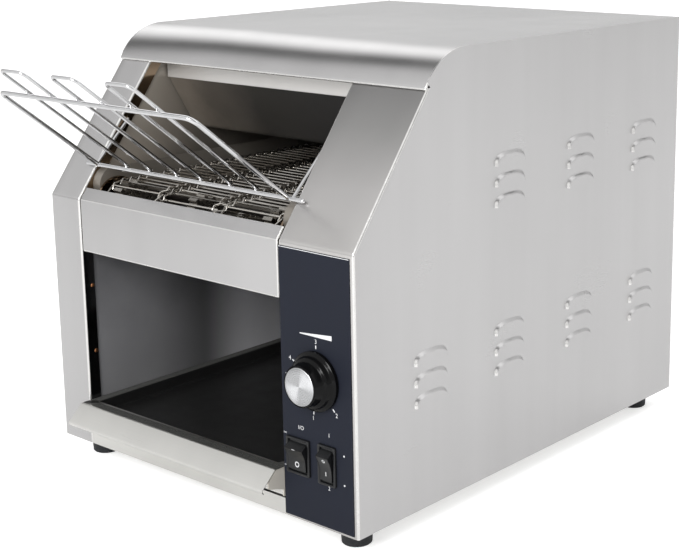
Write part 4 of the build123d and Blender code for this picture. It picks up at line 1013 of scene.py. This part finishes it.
class TOASTER_OT_tray(bpy.types.Operator):
    """Folds the crumb tray with its lip and presses the toast pan"""
    bl_idname = "toaster.tray"
    bl_label = "Tray And Pan"

    def execute(self, context):
        sheet = context.scene.toaster_sizes.sheet
        low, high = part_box("crumb_tray")
        front, bottom, top = FRONT, low.z, high.z
        path, on_arc = rounded_path([(high.y, top), (high.y, bottom), (front - sheet, bottom),
                                     (front - sheet, top - 2 * MM)], [1.5 * MM, 1.5 * MM])
        shape, flags = bent_sheet(path, on_arc, low.x, high.x, sheet, side=1)
        lip_flat, cheek = 9.5 * MM, 17.5 * MM        # how far the lip's level part and the cheeks reach
        sides = []
        for x in (low.x, high.x - sheet):
            outline = [(front - sheet, bottom), (high.y, bottom), (high.y, top), (front - lip_flat, top),
                       (front - cheek, top - 8 * MM), (front - cheek, bottom + 11 * MM),
                       (front - sheet, bottom + 6 * MM)]
            sides.append(slab(outline[::-1], x, x + sheet, 0.3 * MM))
        lip, lip_arc = rounded_path([(front + 2 * MM, top), (front - lip_flat, top),
                                     (low.y, top - 13.5 * MM), (low.y + 1.6 * MM, top - 15.2 * MM)],
                                    [1.4 * MM, 0.9 * MM])
        lip_shape, lip_flags = bent_sheet(lip, lip_arc, low.x, high.x, sheet, side=1)
        tray = merged([shape, lip_shape] + sides)
        count = len(tray[1]) - len(flags) - len(lip_flags)
        # the tray's folds and edges get the painted highlight
        build("folded_tray", tray, ("bright_rolled_steel", "painted_highlight_steel", "blasted_steel"), "tray",
              ["crumb_tray"], indices=np.concatenate([flags, 0 * lip_flags, np.full(count, 2)]))
        low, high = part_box("toast_pan")
        rim, depth = 8 * MM, (high.z - low.z) / MM
        centre = middle_of("toast_pan")
        width, run = high.x - low.x, high.y - low.y
        front_rim = (FRONT + 0.3 * MM) - low.y
        shift = (front_rim - rim) / 2
        inner_width, inner_run = width - 2 * rim, run - rim - front_rim
        # across, along, corner radius and height in mm, and shift: the rim's two levels, then the well's
        levels = [(width, run, 2, -0.6, 0), (width, run, 2, 0, 0)]
        for wider, radius, rise in ((1.5, 7, 0), (0, 6, -0.7), (-3, 5, 2.6 - depth), (-6, 4, 1.2 - depth)):
            levels.append((inner_width + wider * MM, inner_run + wider * MM, radius, rise, shift))
        points = []
        for wide, long, radius, rise, offset in levels:
            loop = rounded_rectangle(wide, long, radius * MM)
            points.append(np.stack([centre[0] + loop[:, 0], centre[1] + offset + loop[:, 1],
                                    np.full(len(loop), high.z + rise * MM)], axis=-1))
        shape = surface(np.array(points), wrap_columns=True)
        around, rim_bands = len(loop), 3
        shape[1].append((np.arange(around) + around * (len(levels) - 1)).tolist())
        # the faces of the rim take the painted reflection
        rim_faces = around * rim_bands
        rim_reflection = np.concatenate([np.ones(rim_faces, int), np.zeros(len(shape[1]) - rim_faces, int)])
        pan = build("pressed_pan", shape, ["baked_coating", "rim_reflection_coating"], "tray", ["toast_pan"],
                    indices=rim_reflection, outward=False)
        thicken(pan, PAN_SHEET)
        return {"FINISHED"}


# ------------------------------------------------------------------ controls
def knob_centre():
    """x and z of the knob's axis."""
    return middle_of("speed_knob")[[0, 2]]


class TOASTER_OT_knob(bpy.types.Operator):
    """Turns the speed knob and its spun cap"""
    bl_idname = "toaster.knob"
    bl_label = "Speed Knob"

    def execute(self, context):
        sizes = context.scene.toaster_sizes
        x, z = knob_centre()
        low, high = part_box("speed_knob")
        face, depth = high.y, high.y - low.y
        r = sizes.knob_radius
        # in mm: in from the skirt's radius and out from the panel, then in and short of the knob's end
        skirt = ((1, 0), (0, 0.5), (0, 3.2), (0.8, 4.1), (2.4, 4.5), (3.2, 5.4), (3.6, 8.2), (4.4, 9.2),
                 (5.9, 9.6), (6.6, 10.4))
        grip = ((7.2, 1.6), (7.7, 0.4), (8.2, 0), (8.6, 0.9))
        profile = ([(3.2 * MM, 0)] + [(r - inset * MM, out * MM) for inset, out in skirt]
                   + [(r - inset * MM, depth - short * MM) for inset, short in grip]
                   + [(1 * MM, depth - 0.9 * MM)])
        build("moulded_knob", turned(profile, (x, face, z), (0, -1, 0), (0, 0, 1), 96), ["gloss_phenolic"],
              "knob", ["speed_knob"], sharp=40)
        cap = r - 8.8 * MM
        profile = [(cap, depth - 1.0 * MM), (cap, depth - 0.3 * MM), (cap - 0.3 * MM, depth - 0.05 * MM),
                   (cap * 0.6, depth - 0.02 * MM), (0.3 * MM, depth)]
        spun_aluminium("spun_aluminium", context.scene.toaster_colours.cap, (x, 0, z))
        build("spun_cap", turned(profile, (x, face, z), (0, -1, 0), (0, 0, 1), 96), ["spun_aluminium"], "knob",
              ["knob_cap"], sharp=40)
        return {"FINISHED"}


ROCKER_TILT = radians(12)
ROCKER_RIDGE = 3.5 * MM           # from a rocker's end to the edge of its concave face


def rocker_place(name):
    """Middle across, half height of the face, pin and turn of a rocker."""
    low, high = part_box(f"{name}_switch_housing")
    half = (high.z - low.z) / 2 - 2.65 * MM
    turn = np.array([[cos(ROCKER_TILT), -sin(ROCKER_TILT)], [sin(ROCKER_TILT), cos(ROCKER_TILT)]])
    x, _, z = middle_of(f"{name}_switch_housing")
    return x, half, np.array([FRONT + 3.5 * MM, z]), turn


def rocker_dish(w, half):
    """Depth of the concave face at w from its middle: -9 mm + 1.8 mm * (1 - (w / face_end) ** 2)."""
    return -9 * MM + 1.8 * MM * (1 - (w / (half - ROCKER_RIDGE)) ** 2)


def rocker_outline(half):
    """Side view of a rocker about its pin: concave face, ridges at both ends, and a round back."""
    w = np.linspace(ROCKER_RIDGE - half, half - ROCKER_RIDGE, 13)
    face = np.stack([rocker_dish(w, half), w], axis=-1)[::-1]
    ends = rounded_path([face[-1] + [0.1 * MM, 0.1 * MM], (-1 * MM, 0.3 * MM - half), (4 * MM, 3 * MM - half),
                         (6.5 * MM, 0), (4 * MM, half - 3 * MM), (-1 * MM, half - 0.3 * MM),
                         face[0] + [0.1 * MM, -0.1 * MM]], [1.2 * MM] * 5, 3)[0]
    return np.vstack([face, ends[1:-1]])


def on_rocker(name, flat):
    """Flat marks (x, w) laid 0.1 mm over the rocker's concave face."""
    middle, half, pin, turn = rocker_place(name)
    side = np.stack([rocker_dish(flat[:, 1], half) - 0.1 * MM, flat[:, 1]], axis=-1) @ turn.T + pin
    return np.column_stack([middle + flat[:, 0], side])


class TOASTER_OT_switches(bpy.types.Operator):
    """Makes the rocker switches with their bezels"""
    bl_idname = "toaster.switches"
    bl_label = "Rocker Switches"

    def execute(self, context):
        nylon = ["textured_nylon"]
        for name in ("power", "mode"):
            low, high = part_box(f"{name}_switch_housing")
            centre = middle_of(f"{name}_switch_housing")[[0, 2]]
            wide, tall = high.x - low.x, high.z - low.z
            pocket_wide = wide - 5.4 * MM
            pocket_tall = tall - 4.5 * MM
            face = FRONT - 0.6 * MM
            levels = [(wide, tall, 1.6 * MM, face), (wide, tall, 1.6 * MM, low.y + 0.7 * MM),
                      (wide - 0.5 * MM, tall - 0.5 * MM, 1.5 * MM, low.y + 0.2 * MM),
                      (wide - 1.4 * MM, tall - 1.4 * MM, 1.2 * MM, low.y),
                      (pocket_wide + 1 * MM, pocket_tall + 1 * MM, 0.9 * MM, low.y + 0.3 * MM),
                      (pocket_wide, pocket_tall, 0.7 * MM, low.y + 1.2 * MM),
                      (pocket_wide, pocket_tall, 0.7 * MM, face - 0.3 * MM)]
            build(f"{name}_bezel", framed(levels, centre), nylon, "casing", [f"{name}_switch_housing"])
            _, half, pin, turn = rocker_place(name)
            outline = rocker_outline(half) @ turn.T + pin
            across = pocket_wide / 2 - 0.35 * MM
            rocker = slab(outline[::-1], centre[0] - across, centre[0] + across, 0.5 * MM)
            build(f"{name}_rocker", rocker, nylon, f"{name}_rocker", [f"{name}_switch_rocker"],
                  sharp=50)
        return {"FINISHED"}


def text_mark(text, place, height):
    """Text as a flat shape in x and z, centred on a place."""
    curve = bpy.data.curves.new("letters", "FONT")
    curve.body = text
    curve.size = height / 0.72
    curve.resolution_u = 3
    holder = bpy.data.objects.new("letters", curve)
    mesh = bpy.data.meshes.new_from_object(holder)
    points = np.empty(len(mesh.vertices) * 3)
    mesh.vertices.foreach_get("co", points)
    points = points.reshape(-1, 3)
    faces = [list(polygon.vertices) for polygon in mesh.polygons]
    bpy.data.objects.remove(holder)
    bpy.data.meshes.remove(mesh)
    bpy.data.curves.remove(curve)
    return (points - (points.max(0) + points.min(0)) / 2)[:, :2] + place, faces


def stroke(start, end, width):
    """Flat bar between two points, as two corners at each end."""
    start, end = np.array(start, float), np.array(end, float)
    side = unit(end - start)[::-1] * np.array([-1, 1]) * width / 2
    return np.array([start - side, end - side, end + side, start + side]), [[0, 1, 2, 3]]


def circle_mark(centre, radius, width, steps=24):
    """Flat band round a centre: centre + r * (cos t, sin t), r on both sides of the radius."""
    t = np.linspace(0.0, 2 * pi, steps + 1)
    way = np.stack([np.cos(t), np.sin(t)], axis=-1)
    points = np.array(centre) + np.stack([way * (radius + width / 2), way * (radius - width / 2)])
    return points.reshape(-1, 2), grid_faces(2, steps + 1)


def panel_marks(sizes):
    """Numbers, ticks and switch marks of the overlay, as flat shapes at (x, z) places."""
    x, z = knob_centre()
    marks = []
    # number, its angle, and how far out its tick starts
    for text, angle, near in (("1", 262, 25.6 * MM), ("2", 311, 25.6 * MM), ("3", 90, 25.6 * MM),
                              ("4", 155, 25.6 * MM), ("5", 183, 27.2 * MM)):
        way = np.array([cos(radians(angle)), sin(radians(angle))])
        marks.append(stroke((x, z) + way * near, (x, z) + way * (near + 2.8 * MM), 1.1 * MM))
        marks.append(text_mark(text, (x, z) + way * (near + 5.8 * MM), sizes.print_height))
    # rising wedge over the knob: more speed to the right
    low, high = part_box("control_overlay")
    base, reach = UNDER + 156 * MM, 17 * MM
    marks.append((np.array([[x - reach, base], [x + reach, base], [x + reach, base + 4 * MM],
                            [x - reach, base + 0.8 * MM]]), [[0, 1, 2, 3]]))
    # light border line at the overlay's top
    line = high.z - 0.6 * MM
    marks.append(stroke((low.x + 0.4 * MM, line), (high.x - 0.4 * MM, line), 0.5 * MM))
    low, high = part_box("power_switch_housing")
    left, middle, label = low.x - 2.1 * MM, middle_of("power_switch_housing")[0], 3.4 * MM
    marks.append(text_mark("ON", (left, UNDER + 70.8 * MM), 1.5 * MM))
    marks.append(text_mark("OFF", (left, UNDER + 43.6 * MM), 1.3 * MM))
    marks.append(text_mark("I/O", (middle + 3 * MM, high.z + 9 * MM), label))
    low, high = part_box("mode_switch_housing")
    middle = middle_of("mode_switch_housing")[0]
    marks.append(text_mark("1", (middle + 2 * MM, high.z + 8.4 * MM), label))
    marks.append(text_mark("2", (middle + 1 * MM, low.z - 2.4 * MM), label))
    for height in (66 * MM, 42 * MM):
        marks.append(circle_mark((high.x + 8 * MM, UNDER + height), 0.5 * MM, 0.7 * MM, steps=12))
    return marks


class TOASTER_OT_panel_print(bpy.types.Operator):
    """Prints the numbers, ticks and switch marks on the overlay and on the rockers"""
    bl_idname = "toaster.panel_print"
    bl_label = "Panel Print"

    def execute(self, context):
        low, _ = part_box("control_overlay")
        shapes = []
        for flat, faces in panel_marks(context.scene.toaster_sizes):
            points = np.stack([flat[:, 0], np.full(len(flat), low.y - 0.05 * MM), flat[:, 1]], axis=-1)
            shapes.append((points, faces))
        ink = ["screen_ink"]
        build("panel_print", merged(shapes), ink, "casing", outward=False)
        dress("control_overlay", "printed_film")
        for name, marks in (("power", (stroke((-1.6 * MM, 9.2 * MM), (1.6 * MM, 9.2 * MM), 0.9 * MM),
                                       circle_mark((0, -4.8 * MM), 1.9 * MM, 0.8 * MM))),
                            ("mode", (circle_mark((0, 6.6 * MM), 1.2 * MM, 0.7 * MM),
                                      stroke((0, -6.6 * MM), (0, -3.2 * MM), 0.8 * MM)))):
            shapes = [(on_rocker(name, flat), faces) for flat, faces in marks]
            build(f"{name}_rocker_marks", merged(shapes), ink, f"{name}_rocker",
                  outward=False)
        return {"FINISHED"}


class TOASTER_OT_feet(bpy.types.Operator):
    """Moulds the four rubber feet"""
    bl_idname = "toaster.feet"
    bl_label = "Feet"

    def execute(self, context):
        low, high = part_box("feet")
        tall = high.z - low.z
        top, tip = 13.5 * MM, 12.4 * MM
        profile = [(1.8 * MM, 2.4 * MM), (2.0 * MM, 0.2 * MM), (2.6 * MM, 0), (tip - 0.9 * MM, 0),
                   (tip, 0.9 * MM), (top - 0.4 * MM, tall - 1.6 * MM), (top, tall - 1.0 * MM), (top, tall),
                   (3 * MM, tall)]
        feet, seat = [], 12.5 * MM
        for x in (low.x + seat, high.x - seat):
            for y in (low.y + seat, high.y - seat):
                feet.append(turned(profile, (x, y, low.z), (0, 0, 1), (1, 0, 0), 40))
        build("rubber_feet", merged(feet), ["moulded_rubber"], "casing", ["feet"])
        return {"FINISHED"}


CARRIED = {
    "satin_steel_crosswise": ("rear_panel",),
    "bright_rolled_steel": ("base_pan",),
    "dull_rolled_steel": ("tray_rails",),
    "chamber_wall_steel": ("left_inner_wall", "right_inner_wall"),
    "right_paler_chute_steel": ("return_chute",),
    "heat_browned_steel": ("chamber_floor", "upper_reflector", "belt_support"),
    "heat_browned_mirror": ("belt_edge_discs",),
    "ground_shaft_steel": ("front_sprockets", "drive_sprockets", "front_shaft", "drive_shaft",
                           "motor_stub_shaft", "shaft_coupling", "control_spindle", "motor_bracket"),
    "turned_brass": ("shaft_bushes",),
    "oxidised_sheath": ("upper_heaters", "lower_heaters"),
    "unglazed_ceramic": ("upper_heater_holders", "lower_heater_holders"),
    "black_enamel_paint": ("gear_motor",),
    "inner_plastic": ("fan_frame", "fan_rotor", "cable_gland", "speed_control"),
    "white_nylon": ("terminal_block",),
}


class TOASTER_OT_carried_nodes(bpy.types.Operator):
    """Gives the chamber, the drive and the rear services their finishes"""
    bl_idname = "toaster.carried_nodes"
    bl_label = "Inner And Rear Parts"

    def execute(self, context):
        for material, nodes in CARRIED.items():
            for node in nodes:
                dress(node, material)
        return {"FINISHED"}


# ------------------------------------------------------------------ stage
def lamp(name, centre, target, size, power):
    """Square white area lamp that faces a target."""
    data = bpy.data.lights.new(name, "AREA")
    data.shape = "RECTANGLE"
    data.size = data.size_y = size
    data.energy = power
    holder = bpy.data.objects.new(name, data)
    away = Vector(centre) - Vector(target)
    holder.matrix_world = Matrix.Translation(centre) @ away.to_track_quat("Z", "Y").to_matrix().to_4x4()
    bpy.context.scene.collection.objects.link(holder)


# level of the room's light against how far a direction points to the rear, -1 to 1 spread over 0 to 1
SKY = ((0.0, 0.62), (0.2, 0.60), (0.3, 0.52), (0.365, 0.50), (0.41, 0.40), (0.45, 0.22), (0.49, 0.10),
       (0.53, 0.07), (0.565, 0.22), (0.61, 0.56), (0.655, 0.86), (0.71, 1.0), (0.765, 0.88), (0.82, 0.60),
       (0.88, 0.50), (1.0, 0.48))
SKY_LEVEL = 1.62
HORIZON = 0.74


def seen_directly(tree):
    """Share of the rays that come straight from the camera or through a clear piece, and the glossy share."""
    path = add_node(tree, "ShaderNodeLightPath").outputs
    return (calculated(tree, "MAXIMUM", path["Is Camera Ray"], path["Is Transmission Ray"]),
            path["Is Glossy Ray"])


def background():
    """World that is white to the camera; elsewhere even round the horizon, and banded overhead."""
    world = bpy.data.worlds.new("studio")
    world.use_nodes = True
    tree = world.node_tree
    tree.nodes.clear()
    way = axes(tree, "Generated")
    rearward = ranged(tree, way["Y"], (-1.0, 1.0), (0.0, 1.0), smooth=False)
    ceiling = ramped(tree, rearward, [(place, (level, level, level, 1.0)) for place, level in SKY])
    height = ranged(tree, way["Z"], (0.1, 0.4), (0.0, 1.0))
    room = add_node(tree, "ShaderNodeMix", [(height, "Factor"),
                                            (calculated(tree, "MULTIPLY", ceiling, SKY_LEVEL), "B")])
    room.inputs["A"].default_value = HORIZON
    seen = add_node(tree, "ShaderNodeMix", [(seen_directly(tree)[0], "Factor"), (room.outputs["Result"], "A")])
    seen.inputs["B"].default_value = 1.0
    light = add_node(tree, "ShaderNodeBackground", [(seen.outputs["Result"], "Strength")])
    light.inputs["Color"].default_value = (1, 1, 1, 1)
    add_node(tree, "ShaderNodeOutputWorld", [(light.outputs["Background"], "Surface")])
    bpy.context.scene.world = world


def floor():
    """Pale floor that takes the shadow: it glows to the camera, and faintly to the rear in reflections."""
    tree, shader = new_material("pale_floor")
    shader.inputs["Base Color"].default_value = linear("#F4F4F4")
    shader.inputs["Roughness"].default_value = 0.9
    direct, glossy = seen_directly(tree)
    rearward = ranged(tree, axes(tree)["Y"], (-0.8, 1.2), (0.0, 0.22), smooth=False)
    mirrored = calculated(tree, "MULTIPLY", glossy, rearward)
    tree.links.new(calculated(tree, "MULTIPLY_ADD", direct, 0.5, mirrored), shader.inputs["Emission Strength"])
    shader.inputs["Emission Color"].default_value = (1, 1, 1, 1)
    half = 6
    mesh = bpy.data.meshes.new("floor")
    corners = [(-half, -half, 0), (half, -half, 0), (half, half, 0), (-half, half, 0)]
    mesh.from_pydata(corners, [], [(0, 1, 2, 3)])
    mesh.materials.append(bpy.data.materials["pale_floor"])
    piece = bpy.data.objects.new("floor", mesh)
    bpy.context.scene.collection.objects.link(piece)


WIDE_PIXELS, TALL_PIXELS = 679, 548            # size of the render
FOCAL_PIXELS = 1470.25
OPTICAL_CENTRE = (430, 205)                    # where the camera's axis meets it, from the top left
CAMERA_DISTANCE = 1.29466


def camera():
    """Camera with a slight roll, on the front right of the toaster."""
    azimuth, elevation, roll = radians(39.98), radians(12.14), radians(-0.43)
    back = Vector((sin(azimuth) * cos(elevation), -cos(azimuth) * cos(elevation), sin(elevation)))
    right = Vector((cos(azimuth), sin(azimuth), 0))
    up = back.cross(right)
    across = right * cos(roll) + up * sin(roll)
    upward = up * cos(roll) - right * sin(roll)
    target = Vector((0.09054, FRONT + 0.2, UNDER + 0.21838))
    place = target + back * CAMERA_DISTANCE
    data = bpy.data.cameras.new("camera")
    data.sensor_width = 36
    data.lens = data.sensor_width * FOCAL_PIXELS / WIDE_PIXELS
    data.shift_x = -(OPTICAL_CENTRE[0] - WIDE_PIXELS / 2) / WIDE_PIXELS
    data.shift_y = (OPTICAL_CENTRE[1] - TALL_PIXELS / 2) / WIDE_PIXELS
    holder = bpy.data.objects.new("camera", data)
    turn = Matrix((across, upward, back)).transposed()
    holder.matrix_world = Matrix.Translation(place) @ turn.to_4x4()
    bpy.context.scene.collection.objects.link(holder)
    bpy.context.scene.camera = holder


class TOASTER_OT_stage(bpy.types.Operator):
    """Sets the floor, the lamp, the world and the camera"""
    bl_idname = "toaster.stage"
    bl_label = "Stage"

    def execute(self, context):
        context.scene.view_settings.view_transform = "Standard"
        background()
        floor()
        camera()
        lamp("key_softbox", (0.75, -2.3, 1.45), (0, 0, 0.2), 1.0, 38)
        return {"FINISHED"}


class TOASTER_PT_panel(bpy.types.Panel):
    """Lists the toaster's pieces in the sidebar"""
    bl_label = "Conveyor Toaster"
    bl_idname = "TOASTER_PT_panel"
    bl_space_type = "VIEW_3D"
    bl_region_type = "UI"
    bl_category = "Toaster"

    def draw(self, context):
        for operator in OPERATORS:
            self.layout.operator(operator.bl_idname)
        for group in (context.scene.toaster_sizes, context.scene.toaster_colours):
            for name in group.__annotations__:
                self.layout.prop(group, name)


OPERATORS = (TOASTER_OT_stage, TOASTER_OT_side_panels, TOASTER_OT_top_cover, TOASTER_OT_front_sheets,
             TOASTER_OT_rivets, TOASTER_OT_belt, TOASTER_OT_rack, TOASTER_OT_tray, TOASTER_OT_knob,
             TOASTER_OT_switches, TOASTER_OT_panel_print, TOASTER_OT_feet, TOASTER_OT_carried_nodes)
CLASSES = (ToasterSizes, ToasterColours) + OPERATORS + (TOASTER_PT_panel,)


def register():
    for kind in CLASSES:
        bpy.utils.register_class(kind)
    bpy.types.Scene.toaster_sizes = PointerProperty(type=ToasterSizes)
    bpy.types.Scene.toaster_colours = PointerProperty(type=ToasterColours)


def unregister():
    del bpy.types.Scene.toaster_colours
    del bpy.types.Scene.toaster_sizes
    for kind in reversed(CLASSES):
        bpy.utils.unregister_class(kind)


def main():
    """Makes every piece in order."""
    register()
    for operator in OPERATORS:
        group, name = operator.bl_idname.split(".")
        result = getattr(getattr(bpy.ops, group), name)()
        if result != {"FINISHED"}:
            raise RuntimeError(f"{operator.bl_label} did not finish")


if __name__ == "__main__":
    main()
